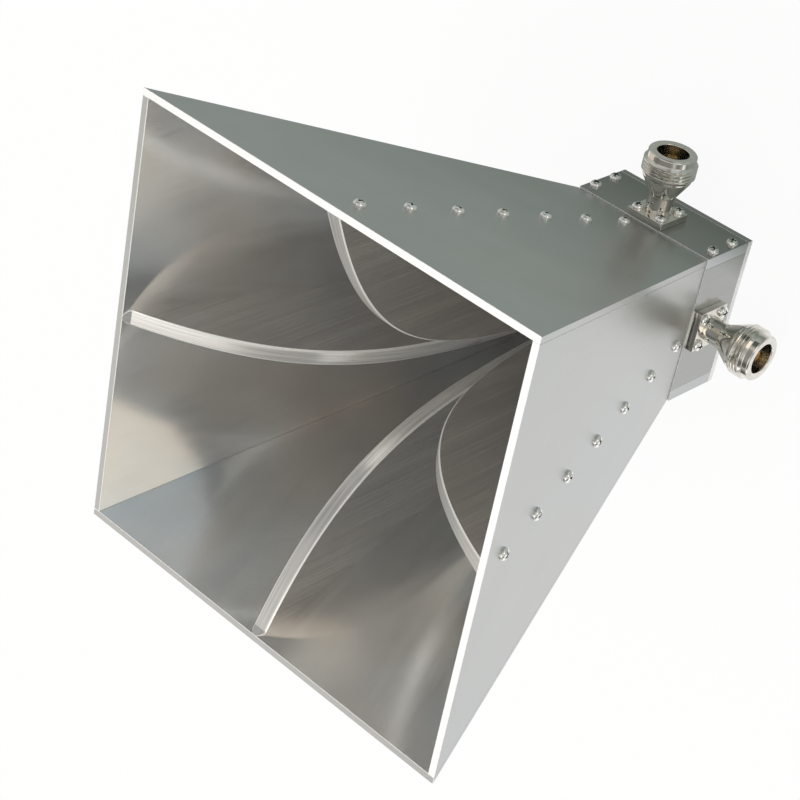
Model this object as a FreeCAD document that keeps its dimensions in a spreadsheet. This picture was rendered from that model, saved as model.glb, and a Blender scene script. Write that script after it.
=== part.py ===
"""Quad-ridged horn antenna with two coaxial sockets.

The horn stands on its back plate and looks up along +Z. The origin is the centre of the
back plate's outer face. One socket is on the +Y side of the box behind the throat, the
other on its +X side, a little further back. All lengths are in millimetres.
"""
import FreeCAD, Part
import math
import os
import Sketcher

VECTOR = FreeCAD.Vector
X_AXIS = VECTOR(1, 0, 0)
Y_AXIS = VECTOR(0, 1, 0)
Z_AXIS = VECTOR(0, 0, 1)
ORIGIN = VECTOR(0, 0, 0)

# Turn about Z that carries a piece drawn on the +Y side to each side of the horn
SIDE_TURN = {"top": 0, "right": -90, "bottom": 180, "left": 90}

DRIVING_SIZES = {
    # Flare
    "aperture_width": 134.0,
    "throat_width": 47.6,
    "flare_length": 137.0,
    "wall_thickness": 2.0,
    # Box behind the throat
    "cavity_ledge": 0.35,
    "cavity_depth": 19.85,
    "cover_plate_thickness": 3.5,
    "side_plate_thickness": 4.5,
    "back_plate_thickness": 2.0,
    # Ridges
    "ridge_thickness": 4.5,
    "ridge_start": 2.0,
    "ridge_nose_height": 0.8,
    "ridge_half_gap": 1.2,
    "ridge_mitre_gap": 0.4,
    "ridge_rear_gap": 7.0,
    "ridge_curve_decay": 0.04,
    "ridge_curve_slope": 0.0415,
    # Screws through the walls into the ridges
    "ridge_screw_count": 7,
    "ridge_screw_front_margin": 11.3,
    "ridge_screw_rear_margin": 10.25,
    "ridge_screw_length": 6.0,
    # Screw sizes shared by all the screws
    "screw_diameter": 2.0,
    "screw_head_diameter": 3.6,
    "screw_head_height": 1.3,
    "screw_clearance": 0.2,
    "screw_end_gap": 0.5,
    # Screws of the box plates
    "cover_screw_length": 8.0,
    "cover_screw_front": 5.0,
    "cover_screw_pitch": 9.3,
    "back_screw_length": 5.0,
    "back_screw_head_diameter": 3.8,
    "back_screw_offset": 17.5,
    "mount_hole_diameter": 2.5,
    "mount_hole_offset": 8.0,
    "mount_hole_depth": 6.0,
    # Coaxial sockets
    "feed_setback": 6.4,
    "feed_stagger": 1.4,
    "flange_width": 12.7,
    "flange_thickness": 2.2,
    "flange_hole_pitch": 8.64,
    "flange_screw_length": 5.2,
    "neck_diameter": 7.9,
    "neck_height": 7.6,
    "cone_height": 13.3,
    "cone_diameter": 14.4,
    "thread_diameter": 15.88,
    "thread_height": 19.7,
    "socket_height": 21.3,
    "lip_diameter": 14.2,
    "face_diameter": 13.4,
    "mouth_diameter": 9.4,
    "mouth_depth": 9.1,
    "insulator_head_diameter": 7.0,
    "insulator_step_height": 10.0,
    "insulator_neck_diameter": 5.8,
    "contact_diameter": 3.04,
    "contact_bore_diameter": 1.66,
    "contact_bore_depth": 4.5,
    "contact_slot_width": 0.3,
    "contact_slot_depth": 3.6,
    "contact_tip_depth": 5.0,
    "stem_diameter": 1.8,
    "vent_hole_diameter": 0.9,
    "vent_hole_height": 5.6,
    # Feed pins
    "pin_diameter": 0.9,
    "pin_seat_depth": 3.0,
    "sleeve_diameter": 2.9,
    "sleeve_tip_height": 4.0,
    "pin_hole_diameter": 1.6,
}

doc = FreeCAD.newDocument("horn_antenna")
sizes = doc.addObject("Spreadsheet::Sheet", "Sizes")
for row, (alias, size) in enumerate(DRIVING_SIZES.items(), start=1):
    sizes.set(f"A{row}", alias)
    sizes.set(f"B{row}", str(size))
    sizes.setAlias(f"B{row}", alias)
doc.recompute()

# Lengths that follow from the driving sizes, as formulas
FLARE_ANGLE = "atan((Sizes.aperture_width - Sizes.throat_width) / 2 / Sizes.flare_length)"
RIM_WIDTH = f"Sizes.wall_thickness / cos({FLARE_ANGLE})"
THROAT_HEIGHT = "(Sizes.back_plate_thickness + Sizes.cavity_depth)"
APERTURE_HEIGHT = f"({THROAT_HEIGHT} + Sizes.flare_length)"
FEED_HEIGHT_TOP = f"({THROAT_HEIGHT} - Sizes.feed_setback)"
FEED_HEIGHT_SIDE = f"({FEED_HEIGHT_TOP} - Sizes.feed_stagger)"
HALF_CAVITY = "(Sizes.throat_width / 2 + Sizes.cavity_ledge)"
RIDGE_FOOT_HEIGHT = "(Sizes.back_plate_thickness + Sizes.ridge_rear_gap)"
CLEARANCE_DIAMETER = "Sizes.screw_diameter + Sizes.screw_clearance"
COVER_SCREW_X = f"({HALF_CAVITY} - Sizes.side_plate_thickness / 2)"
COVER_SCREW_HIGH = f"{THROAT_HEIGHT} - Sizes.cover_screw_front"
COVER_SCREW_LOW = f"{COVER_SCREW_HIGH} - Sizes.cover_screw_pitch"
RIDGE_SCREW_ROW = (f"(Sizes.flare_length / cos({FLARE_ANGLE})"
                   " - Sizes.ridge_screw_front_margin - Sizes.ridge_screw_rear_margin)")
CONTACT_TIP = "(Sizes.socket_height - Sizes.contact_tip_depth)"
INSULATOR_TOP = "(Sizes.socket_height - Sizes.mouth_depth)"

# Points of each ridge's curve, closer together near the aperture, where it bends most
CURVE_POINTS = 10
CURVE_CROWDING = 1.5
# Sides of the small screws' heads and shanks
SCREW_SIDES = 12


def number(formula):
    """Value of a formula in the sheet's sizes, as a plain float."""
    result = sizes.evalExpression(str(formula))
    return float(getattr(result, "Value", result))


def bind(item, **formulas):
    """Bind properties of an object to formulas."""
    for name, formula in formulas.items():
        item.setExpression(name, str(formula))


def new_body(label, turn=0):
    """An empty body, turned about Z from the +Y side to its own side."""
    body = doc.addObject("PartDesign::Body", label)
    body.Label = label
    body.Placement = FreeCAD.Placement(ORIGIN, FreeCAD.Rotation(Z_AXIS, turn))
    return body


def new_sketch(body, name, plane="XY_Plane", lift="0"):
    """A sketch on one of the body's origin planes, lifted off it by a formula."""
    sketch = body.newObject("Sketcher::SketchObject", f"{body.Name}_{name}")
    base = next(item for item in body.Origin.OriginFeatures if item.Role == plane)
    sketch.AttachmentSupport = [(base, "")]
    sketch.MapMode = "FlatFace"
    sketch.setExpression("AttachmentOffset.Base.z", lift)
    return sketch


def outward_sketch(body, name, height, depth, tilt="0 deg"):
    """A sketch that faces outwards from the +Y side.

    Its X runs along the row's X, and its Y runs down, away from the aperture.
    """
    sketch = new_sketch(body, name)
    sketch.AttachmentOffset = FreeCAD.Placement(ORIGIN, FreeCAD.Rotation(X_AXIS, -90))
    sketch.setExpression("AttachmentOffset.Base.y", depth)
    sketch.setExpression("AttachmentOffset.Base.z", height)
    sketch.setExpression("AttachmentOffset.Rotation.Angle", f"-(90 deg + {tilt})")
    return sketch


def pin_point(sketch, geometry, position, across, up):
    """Hold a point of the sketch at two formulas, measured from the sketch's origin."""
    if across == "0":
        sketch.addConstraint(Sketcher.Constraint("PointOnObject", geometry, position, -2))
    else:
        index = sketch.addConstraint(Sketcher.Constraint(
            "DistanceX", -1, 1, geometry, position, number(across)))
        sketch.setExpression(f"Constraints[{index}]", across)
    if up == "0":
        sketch.addConstraint(Sketcher.Constraint("PointOnObject", geometry, position, -1))
    else:
        index = sketch.addConstraint(Sketcher.Constraint(
            "DistanceY", -1, 1, geometry, position, number(up)))
        sketch.setExpression(f"Constraints[{index}]", up)


def outline(sketch, corners):
    """A closed outline of straight lines through corners given as pairs of formulas."""
    points = [VECTOR(number(across), number(up), 0) for across, up in corners]
    count = len(points)
    first = sketch.GeometryCount
    for low, high in zip(points, points[1:] + points[:1]):
        sketch.addGeometry(Part.LineSegment(low, high), False)
    for index in range(count):
        sketch.addConstraint(Sketcher.Constraint(
            "Coincident", first + index, 2, first + (index + 1) % count, 1))
    for index, (across, up) in enumerate(corners):
        pin_point(sketch, first + index, 1, across, up)


def rectangle(sketch, half_width, low, high):
    """A rectangle about the sketch's vertical axis, between two heights."""
    outline(sketch, [
        (f"-({half_width})", low),
        (half_width, low),
        (half_width, high),
        (f"-({half_width})", high)])


def circle(sketch, across, up, diameter):
    """A circle at a point given by two formulas."""
    centre = VECTOR(number(across), number(up), 0)
    index = sketch.addGeometry(Part.Circle(centre, Z_AXIS, number(diameter) / 2), False)
    pin_point(sketch, index, 3, across, up)
    rule = sketch.addConstraint(Sketcher.Constraint("Diameter", index, number(diameter)))
    sketch.setExpression(f"Constraints[{rule}]", diameter)


def pad(body, sketch, length, name="pad", symmetric=False):
    """Raise a sketch into a solid."""
    feature = body.newObject("PartDesign::Pad", f"{body.Name}_{name}")
    feature.Profile = sketch
    bind(feature, Length=length)
    if symmetric:
        feature.SideType = "Symmetric"
    return feature


def drill(body, sketch, length, name, reverse=False):
    """Cut a sketch into the body, against the sketch's normal unless reversed."""
    feature = body.newObject("PartDesign::Pocket", f"{body.Name}_{name}")
    feature.Profile = sketch
    feature.Reversed = reverse
    bind(feature, Length=length)
    body.Tip = feature
    return feature


def turned(body, sketch, kind, name):
    """Turn a profile about the sketch's vertical axis: Revolution adds, Groove cuts."""
    feature = body.newObject(f"PartDesign::{kind}", f"{body.Name}_{name}")
    feature.Profile = sketch
    feature.ReferenceAxis = (sketch, ["V_Axis"])
    feature.Angle = 360
    body.Tip = feature
    return feature


def repeat_down_wall(body, feature, sketch):
    """Repeat a hole along the wall's slope, once for each screw."""
    pattern = body.newObject("PartDesign::LinearPattern", f"{body.Name}_row")
    pattern.Originals = [feature]
    pattern.Direction = (sketch, ["V_Axis"])
    bind(pattern,
         Length=RIDGE_SCREW_ROW,
         Occurrences="Sizes.ridge_screw_count")
    body.Tip = pattern
    return pattern


def ridge_screw_sketch(body, diameter):
    """The first screw hole, square to the wall's outer face, near the aperture."""
    sketch = outward_sketch(
        body, "screw_sketch", APERTURE_HEIGHT, "Sizes.aperture_width / 2", FLARE_ANGLE)
    circle(sketch, "0", "Sizes.ridge_screw_front_margin", diameter)
    return sketch


def make_wall(side, inset):
    """A flared sheet wall with its two ends square to the horn's axis.

    Inset is how far its long edges stand in from the full width.
    """
    body = new_body(f"wall_{side}", SIDE_TURN[side])
    section = new_sketch(body, "section", plane="YZ_Plane")
    throat = "Sizes.throat_width / 2"
    aperture = "Sizes.aperture_width / 2"
    outline(section, [
        (f"{throat} - {RIM_WIDTH}", THROAT_HEIGHT),
        (throat, THROAT_HEIGHT),
        (aperture, APERTURE_HEIGHT),
        (f"{aperture} - {RIM_WIDTH}", APERTURE_HEIGHT)])
    pad(body, section, "Sizes.aperture_width", symmetric=True)
    trim = new_sketch(body, "trim", plane="XZ_Plane")
    for sign in ("-", ""):
        outline(trim, [
            (f"{sign}({throat} - {inset})", THROAT_HEIGHT),
            (f"{sign}({aperture} - {inset})", APERTURE_HEIGHT),
            (f"{sign}Sizes.aperture_width", APERTURE_HEIGHT),
            (f"{sign}Sizes.aperture_width", THROAT_HEIGHT)])
    drill(body, trim, "Sizes.aperture_width", "edge_trim")
    holes = ridge_screw_sketch(body, CLEARANCE_DIAMETER)
    hole = drill(body, holes, "2 * Sizes.wall_thickness", "screw_hole")
    repeat_down_wall(body, hole, holes)
    return body


def ridge_height(depth):
    """Distance of a ridge's inner edge from the horn's axis, at a depth behind the aperture.

    It falls away exponentially from the wall, with a slight straight taper to the throat.
    """
    start = number("Sizes.ridge_start")
    length = number("Sizes.flare_length")
    decay = number("Sizes.ridge_curve_decay")
    slope = number("Sizes.ridge_curve_slope")
    gap = number("Sizes.ridge_half_gap")
    nose = wall_inside(start) - number("Sizes.ridge_nose_height")
    swing = (nose - gap - slope * (length - start)) * math.exp(decay * start)
    return gap + slope * (length - depth) + swing * math.exp(-decay * depth)


def wall_inside(depth):
    """Distance of a wall's inner face from the horn's axis, at a depth behind the aperture."""
    taper = math.tan(math.radians(number(FLARE_ANGLE)))
    return number(f"Sizes.aperture_width / 2 - {RIM_WIDTH}") - taper * depth


def ridge_profile(sketch, plate_thickness):
    """The ridge's outline: across is the distance from the axis, up is the row's height."""
    top = number(APERTURE_HEIGHT)
    throat = number(THROAT_HEIGHT)
    foot = number(RIDGE_FOOT_HEIGHT)
    gap = number("Sizes.ridge_half_gap")
    start = number("Sizes.ridge_start")
    length = number("Sizes.flare_length")
    box_inside = number(f"{HALF_CAVITY} - {plate_thickness}")
    shares = [(step / (CURVE_POINTS - 1)) ** CURVE_CROWDING for step in range(CURVE_POINTS)]
    depths = [start + (length - start) * share for share in shares]
    edge = [VECTOR(ridge_height(depth), top - depth, 0) for depth in depths]
    edge[-1] = VECTOR(gap, throat, 0)
    curve = Part.BSplineCurve()
    curve.interpolate(edge)
    corners = [
        edge[-1],
        VECTOR(gap, foot, 0),
        VECTOR(box_inside, foot, 0),
        VECTOR(box_inside, throat, 0),
        VECTOR(wall_inside(length), throat, 0),
        VECTOR(wall_inside(start), top - start, 0),
        edge[0]]
    sketch.addGeometry(curve, False)
    for low, high in zip(corners, corners[1:]):
        sketch.addGeometry(Part.LineSegment(low, high), False)
    count = len(corners)
    for index in range(count):
        sketch.addConstraint(Sketcher.Constraint("Coincident", index, 2, (index + 1) % count, 1))


def make_ridge(side, plate_thickness, feed_height, carries_sleeve):
    """A ridge: a flat plate with a curved inner edge, mitred tips and its feed hole."""
    body = new_body(f"ridge_{side}", SIDE_TURN[side])
    profile = new_sketch(body, "profile", plane="YZ_Plane")
    ridge_profile(profile, plate_thickness)
    pad(body, profile, "Sizes.ridge_thickness", symmetric=True)

    mitre = new_sketch(body, "mitre")
    reach = "Sizes.ridge_thickness"
    outline(mitre, [
        ("0", "Sizes.ridge_mitre_gap"),
        (f"-({reach})", f"Sizes.ridge_mitre_gap + {reach}"),
        (f"-({reach})", f"-({reach})"),
        (reach, f"-({reach})"),
        (reach, f"Sizes.ridge_mitre_gap + {reach}")])
    drill(body, mitre, APERTURE_HEIGHT, "mitre_cut", reverse=True)

    tapped = ridge_screw_sketch(body, "Sizes.screw_diameter")
    hole = drill(body, tapped, "Sizes.ridge_screw_length + Sizes.screw_end_gap", "tapped_hole")
    repeat_down_wall(body, hole, tapped)

    if carries_sleeve:
        bore = outward_sketch(body, "sleeve_sketch", feed_height, HALF_CAVITY)
        circle(bore, "0", "0", "Sizes.sleeve_diameter")
        drill(body, bore, f"{HALF_CAVITY} - Sizes.sleeve_tip_height", "sleeve_bore")
        pin = outward_sketch(body, "pin_sketch", feed_height, HALF_CAVITY)
        circle(pin, "0", "0", "Sizes.pin_hole_diameter")
        drill(body, pin, HALF_CAVITY, "pin_hole")
    else:
        seat = outward_sketch(
            body, "seat_sketch", feed_height, "Sizes.ridge_half_gap + Sizes.pin_seat_depth")
        circle(seat, "0", "0", "Sizes.pin_diameter")
        drill(body, seat, "Sizes.ridge_half_gap + Sizes.pin_seat_depth", "pin_seat")
    return body


def make_plate(side, half_width, thickness):
    """One plate of the box, drawn on the +Y side between the back plate and the throat."""
    body = new_body(f"cavity_plate_{side}", SIDE_TURN[side])
    plan = new_sketch(body, "plan", lift="Sizes.back_plate_thickness")
    rectangle(plan, half_width, f"{HALF_CAVITY} - {thickness}", HALF_CAVITY)
    pad(body, plan, "Sizes.cavity_depth")
    return body


def make_cover_plate(side):
    """A plate over the full width, with four screws into the ends of the side plates."""
    body = make_plate(side, HALF_CAVITY, "Sizes.cover_plate_thickness")
    holes = outward_sketch(body, "cover_sketch", "0", HALF_CAVITY)
    for across in (f"-({COVER_SCREW_X})", COVER_SCREW_X):
        for height in (COVER_SCREW_HIGH, COVER_SCREW_LOW):
            circle(holes, across, f"-({height})", CLEARANCE_DIAMETER)
    drill(body, holes, "2 * Sizes.cover_plate_thickness", "cover_hole")
    return body


def make_side_plate(side):
    """A plate between the cover plates, tapped at both ends and at the back."""
    half_width = f"({HALF_CAVITY} - Sizes.cover_plate_thickness)"
    body = make_plate(side, half_width, "Sizes.side_plate_thickness")
    for end, reverse in (("-", False), ("", True)):
        edge = new_sketch(body, "far_edge" if end else "near_edge", plane="YZ_Plane",
                          lift=f"{end}{half_width}")
        for height in (COVER_SCREW_HIGH, COVER_SCREW_LOW):
            circle(edge, COVER_SCREW_X, height, "Sizes.screw_diameter")
        depth = "Sizes.cover_screw_length - Sizes.cover_plate_thickness + Sizes.screw_end_gap"
        drill(body, edge, depth, "far_tap" if end else "near_tap", reverse=not reverse)
    for name, offset, diameter, depth in (
            ("back_tap", "Sizes.back_screw_offset", "Sizes.screw_diameter",
             "Sizes.back_screw_length + Sizes.screw_end_gap"),
            ("mount_tap", "Sizes.mount_hole_offset", "Sizes.mount_hole_diameter",
             "Sizes.mount_hole_depth")):
        rear = new_sketch(body, f"{name}_sketch")
        for sign in ("-", ""):
            circle(rear, f"{sign}{offset}", COVER_SCREW_X, diameter)
        drill(body, rear, depth, name, reverse=True)
    return body


def add_feed_holes(body, feed_height, thickness):
    """The sleeve bore and the flange's four tapped holes in a box plate."""
    bore = outward_sketch(body, "bore_sketch", feed_height, HALF_CAVITY)
    circle(bore, "0", "0", "Sizes.sleeve_diameter")
    drill(body, bore, f"2 * {thickness}", "sleeve_bore")
    taps = outward_sketch(body, "flange_sketch", feed_height, HALF_CAVITY)
    for across in ("-", ""):
        for up in ("-", ""):
            circle(taps, f"{across}Sizes.flange_hole_pitch / 2",
                   f"{up}Sizes.flange_hole_pitch / 2", "Sizes.screw_diameter")
    drill(body, taps, "Sizes.flange_screw_length - Sizes.flange_thickness", "flange_tap")


def back_plate_holes(offset):
    """Centres of four holes over the side plates, as pairs of formulas."""
    return [(f"{near}{COVER_SCREW_X}", f"{far}{offset}")
            for near in ("-", "") for far in ("-", "")]


def make_back_plate():
    """The square back plate, with countersunk screw holes and four mounting holes."""
    body = new_body("back_plate")
    plan = new_sketch(body, "plan")
    rectangle(plan, HALF_CAVITY, f"-{HALF_CAVITY}", HALF_CAVITY)
    pad(body, plan, "Sizes.back_plate_thickness")
    places = back_plate_holes("Sizes.back_screw_offset")
    sink_depth = "(Sizes.back_screw_head_diameter - Sizes.screw_diameter) / 2"
    for name, centres, diameter, depth, taper in (
            ("screw_hole", places, "Sizes.screw_diameter", "Sizes.back_plate_thickness", 0),
            ("sink", places, "Sizes.back_screw_head_diameter", sink_depth, -45),
            ("mount_hole", back_plate_holes("Sizes.mount_hole_offset"),
             "Sizes.mount_hole_diameter", "Sizes.back_plate_thickness", 0)):
        sketch = new_sketch(body, f"{name}_sketch")
        for across, up in centres:
            circle(sketch, across, up, diameter)
        cut = drill(body, sketch, depth, name, reverse=True)
        cut.TaperAngle = taper
    return body


def place_on_socket(body, side):
    """Stand a piece drawn along +Z on the socket's seat at the top or the side."""
    if side == "top":
        body.Placement = FreeCAD.Placement(ORIGIN, FreeCAD.Rotation(X_AXIS, -90))
        body.setExpression("Placement.Base.y", HALF_CAVITY)
        body.setExpression("Placement.Base.z", FEED_HEIGHT_TOP)
    else:
        body.Placement = FreeCAD.Placement(ORIGIN, FreeCAD.Rotation(Y_AXIS, 90))
        body.setExpression("Placement.Base.x", HALF_CAVITY)
        body.setExpression("Placement.Base.z", FEED_HEIGHT_SIDE)


def radius(name):
    """Half of a named diameter, as a formula."""
    return f"Sizes.{name} / 2"


def chamfer(outer, inner):
    """Height of a 45 degree chamfer between two named diameters, as a formula."""
    return f"(Sizes.{outer} - Sizes.{inner}) / 2"


def make_socket_body(side):
    """Flange, neck and threaded head of a socket, drawn from the flange's seat along +Z."""
    body = new_body(f"connector_{side}_body")
    plan = new_sketch(body, "flange")
    rectangle(plan, radius("flange_width"), f"-{radius('flange_width')}", radius("flange_width"))
    pad(body, plan, "Sizes.flange_thickness")
    barrel = new_sketch(body, "barrel", plane="XZ_Plane")
    outline(barrel, [
        ("0", "0"),
        (radius("neck_diameter"), "0"),
        (radius("neck_diameter"), "Sizes.neck_height"),
        (radius("cone_diameter"), "Sizes.cone_height"),
        (radius("thread_diameter"),
         f"Sizes.cone_height + {chamfer('thread_diameter', 'cone_diameter')}"),
        (radius("thread_diameter"),
         f"Sizes.thread_height - {chamfer('thread_diameter', 'lip_diameter')}"),
        (radius("lip_diameter"), "Sizes.thread_height"),
        (radius("lip_diameter"),
         f"Sizes.socket_height - {chamfer('lip_diameter', 'face_diameter')}"),
        (radius("face_diameter"), "Sizes.socket_height"),
        ("0", "Sizes.socket_height")])
    turned(body, barrel, "Revolution", "barrel_turn")
    doc.recompute()
    bores = new_sketch(body, "bores", plane="XZ_Plane")
    outline(bores, [
        ("0", "0"),
        (radius("insulator_neck_diameter"), "0"),
        (radius("insulator_neck_diameter"), "Sizes.insulator_step_height"),
        (radius("insulator_head_diameter"), "Sizes.insulator_step_height"),
        (radius("insulator_head_diameter"), INSULATOR_TOP),
        (radius("mouth_diameter"), INSULATOR_TOP),
        (radius("mouth_diameter"), "Sizes.socket_height"),
        ("0", "Sizes.socket_height")])
    turned(body, bores, "Groove", "bore_turn")
    holes = new_sketch(body, "flange_holes", lift="Sizes.flange_thickness")
    for across in ("-", ""):
        for up in ("-", ""):
            circle(holes, f"{across}Sizes.flange_hole_pitch / 2",
                   f"{up}Sizes.flange_hole_pitch / 2", CLEARANCE_DIAMETER)
    drill(body, holes, "Sizes.flange_thickness", "flange_hole")
    vent = outward_sketch(body, "vent_sketch", "Sizes.vent_hole_height", "0")
    circle(vent, "0", "0", "Sizes.vent_hole_diameter")
    drill(body, vent, "Sizes.neck_diameter", "vent_hole")
    place_on_socket(body, side)
    return body


def make_insulator(side):
    """Stepped plastic insulator that fills the socket's rear bores."""
    body = new_body(f"connector_{side}_insulator")
    half = new_sketch(body, "half", plane="XZ_Plane")
    outline(half, [
        (radius("stem_diameter"), "0"),
        (radius("insulator_neck_diameter"), "0"),
        (radius("insulator_neck_diameter"), "Sizes.insulator_step_height"),
        (radius("insulator_head_diameter"), "Sizes.insulator_step_height"),
        (radius("insulator_head_diameter"), INSULATOR_TOP),
        (radius("stem_diameter"), INSULATOR_TOP)])
    turned(body, half, "Revolution", "turn")
    place_on_socket(body, side)
    return body


def make_sleeve(side):
    """Plastic sleeve round the feed pin, from the flange's seat to near the ridge's tip."""
    body = new_body(f"connector_{side}_sleeve")
    ring = new_sketch(body, "ring")
    circle(ring, "0", "0", "Sizes.sleeve_diameter")
    circle(ring, "0", "0", "Sizes.pin_diameter")
    tube = pad(body, ring, f"{HALF_CAVITY} - Sizes.sleeve_tip_height")
    tube.Reversed = True
    place_on_socket(body, side)
    return body


def make_contact(side):
    """Gilt centre contact: slotted socket, stem in the insulator and the long feed pin."""
    body = new_body(f"connector_{side}_contact")
    half = new_sketch(body, "half", plane="XZ_Plane")
    pin_end = f"-({HALF_CAVITY} + Sizes.ridge_half_gap + Sizes.pin_seat_depth)"
    outline(half, [
        ("0", pin_end),
        (radius("pin_diameter"), pin_end),
        (radius("pin_diameter"), "0"),
        (radius("stem_diameter"), "0"),
        (radius("stem_diameter"), INSULATOR_TOP),
        (radius("contact_diameter"), INSULATOR_TOP),
        (radius("contact_diameter"), CONTACT_TIP),
        (radius("contact_bore_diameter"), CONTACT_TIP),
        (radius("contact_bore_diameter"), f"{CONTACT_TIP} - Sizes.contact_bore_depth"),
        ("0", f"{CONTACT_TIP} - Sizes.contact_bore_depth")])
    turned(body, half, "Revolution", "turn")
    slots = new_sketch(body, "slots", lift=CONTACT_TIP)
    arm = radius("contact_diameter")
    rib = radius("contact_slot_width")
    outline(slots, [
        (rib, rib), (arm, rib), (arm, f"-{rib}"), (rib, f"-{rib}"),
        (rib, f"-{arm}"), (f"-{rib}", f"-{arm}"), (f"-{rib}", f"-{rib}"), (f"-{arm}", f"-{rib}"),
        (f"-{arm}", rib), (f"-{rib}", rib), (f"-{rib}", arm), (rib, arm)])
    drill(body, slots, "Sizes.contact_slot_depth", "slot_cut")
    place_on_socket(body, side)
    return body


def turned_solid(profile):
    """A solid turned about Z from a half profile of (radius, height) pairs."""
    points = [VECTOR(across, 0, up) for across, up in profile]
    wire = Part.makePolygon(points + points[:1])
    return Part.Face(wire).revolve(ORIGIN, Z_AXIS, 360)


def prism(diameter, low, high):
    """A many-sided rod about Z between two heights, its corners on the diameter."""
    turns = [2 * math.pi * index / SCREW_SIDES for index in range(SCREW_SIDES + 1)]
    corners = [VECTOR(diameter / 2 * math.cos(turn), diameter / 2 * math.sin(turn), low)
               for turn in turns]
    return Part.Face(Part.makePolygon(corners)).extrude(VECTOR(0, 0, high - low))


def pan_head_screw(length):
    """A pan-head screw along +Z, its head seated at the origin."""
    height = sizes.screw_head_height
    head = prism(sizes.screw_head_diameter, 0, height)
    rim = [edge for edge in head.Edges
           if all(vertex.Point.z == height for vertex in edge.Vertexes)]
    crowned = head.makeChamfer(height / 2, rim)
    shank = prism(sizes.screw_diameter, -length, 0)
    return crowned.fuse(shank).removeSplitter()


def countersunk_screw(length):
    """A countersunk screw along +Z, its head's flat face at the origin."""
    shank = sizes.screw_diameter / 2
    head = sizes.back_screw_head_diameter / 2
    return turned_solid([
        (0, -length), (shank, -length), (shank, shank - head), (head, 0), (0, 0)])


def screw_group(label, screw, seats):
    """Identical screws as one node: a seat is a point and the way its head faces."""
    group = doc.addObject("Part::Feature", label)
    group.Label = label
    copies = []
    for point, outward in seats:
        turn = FreeCAD.Rotation(Z_AXIS, outward)
        copies.append(screw.transformed(FreeCAD.Placement(point, turn).toMatrix(), True))
    group.Shape = Part.makeCompound(copies)
    return group


def ridge_screw_seats(side):
    """Where the screws sit on a wall's outer face, from the aperture to the throat."""
    angle = math.radians(number(FLARE_ANGLE))
    outward = VECTOR(0, math.cos(angle), -math.sin(angle))
    downward = VECTOR(0, -math.sin(angle), -math.cos(angle))
    edge = VECTOR(0, sizes.aperture_width / 2, number(APERTURE_HEIGHT))
    turn = FreeCAD.Rotation(Z_AXIS, SIDE_TURN[side])
    pitch = number(RIDGE_SCREW_ROW) / (sizes.ridge_screw_count - 1)
    seats = []
    for index in range(int(sizes.ridge_screw_count)):
        along = sizes.ridge_screw_front_margin + index * pitch
        seats.append((turn.multVec(edge + downward * along), turn.multVec(outward)))
    return seats


def cover_screw_seats(side):
    """Where the four screws sit on a cover plate."""
    turn = FreeCAD.Rotation(Z_AXIS, SIDE_TURN[side])
    across = number(COVER_SCREW_X)
    return [
        (turn.multVec(VECTOR(sign * across, number(HALF_CAVITY), number(height))),
         turn.multVec(Y_AXIS))
        for sign in (-1, 1) for height in (COVER_SCREW_HIGH, COVER_SCREW_LOW)]


def flange_screw_seats(side):
    """Where the four screws sit on a socket's flange."""
    half = sizes.flange_hole_pitch / 2
    face = number(f"{HALF_CAVITY} + Sizes.flange_thickness")
    seats = []
    for across in (-half, half):
        for up in (-half, half):
            if side == "top":
                seats.append((VECTOR(across, face, number(FEED_HEIGHT_TOP) + up), Y_AXIS))
            else:
                seats.append((VECTOR(face, across, number(FEED_HEIGHT_SIDE) + up), X_AXIS))
    return seats


def back_screw_seats():
    """Where the countersunk screws sit in the back plate."""
    return [(VECTOR(number(across), number(up), 0), -Z_AXIS)
            for across, up in back_plate_holes("Sizes.back_screw_offset")]


pieces = []
for side in ("top", "bottom"):
    pieces.append(make_wall(side, "0"))
    pieces.append(make_ridge(side, "Sizes.cover_plate_thickness", FEED_HEIGHT_TOP, side == "top"))
    pieces.append(make_cover_plate(side))
for side in ("left", "right"):
    pieces.append(make_wall(side, RIM_WIDTH))
    pieces.append(make_ridge(side, "Sizes.side_plate_thickness", FEED_HEIGHT_SIDE,
                             side == "right"))
    pieces.append(make_side_plate(side))
add_feed_holes(doc.getObject("cavity_plate_top"), FEED_HEIGHT_TOP, "Sizes.cover_plate_thickness")
add_feed_holes(doc.getObject("cavity_plate_right"), FEED_HEIGHT_SIDE,
               "Sizes.side_plate_thickness")
pieces.append(make_back_plate())
for side in ("top", "side"):
    pieces.append(make_socket_body(side))
    pieces.append(make_insulator(side))
    pieces.append(make_sleeve(side))
    pieces.append(make_contact(side))
    pieces.append(screw_group(f"flange_screws_{side}", pan_head_screw(sizes.flange_screw_length),
                              flange_screw_seats(side)))
for side in SIDE_TURN:
    pieces.append(screw_group(f"ridge_screws_{side}", pan_head_screw(sizes.ridge_screw_length),
                              ridge_screw_seats(side)))
for side in ("top", "bottom"):
    pieces.append(screw_group(f"cavity_screws_{side}", pan_head_screw(sizes.cover_screw_length),
                              cover_screw_seats(side)))
pieces.append(screw_group("back_plate_screws", countersunk_screw(sizes.back_screw_length),
                          back_screw_seats()))
doc.recompute()

for item in doc.Objects:
    if {"Invalid", "Error"} & set(item.State):
        raise RuntimeError(f"{item.Name} did not build: {item.State}")
for piece in pieces:
    if piece.Shape.isNull() or not piece.Shape.isValid():
        raise RuntimeError(f"{piece.Label} has no sound shape")

os.makedirs("parts", exist_ok=True)
for piece in pieces:
    piece.Shape.exportStep(f"parts/{piece.Label}.step")
    print(f"{piece.Label}: {piece.Shape.Volume:.1f} mm3, {len(piece.Shape.Solids)} solids")
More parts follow.
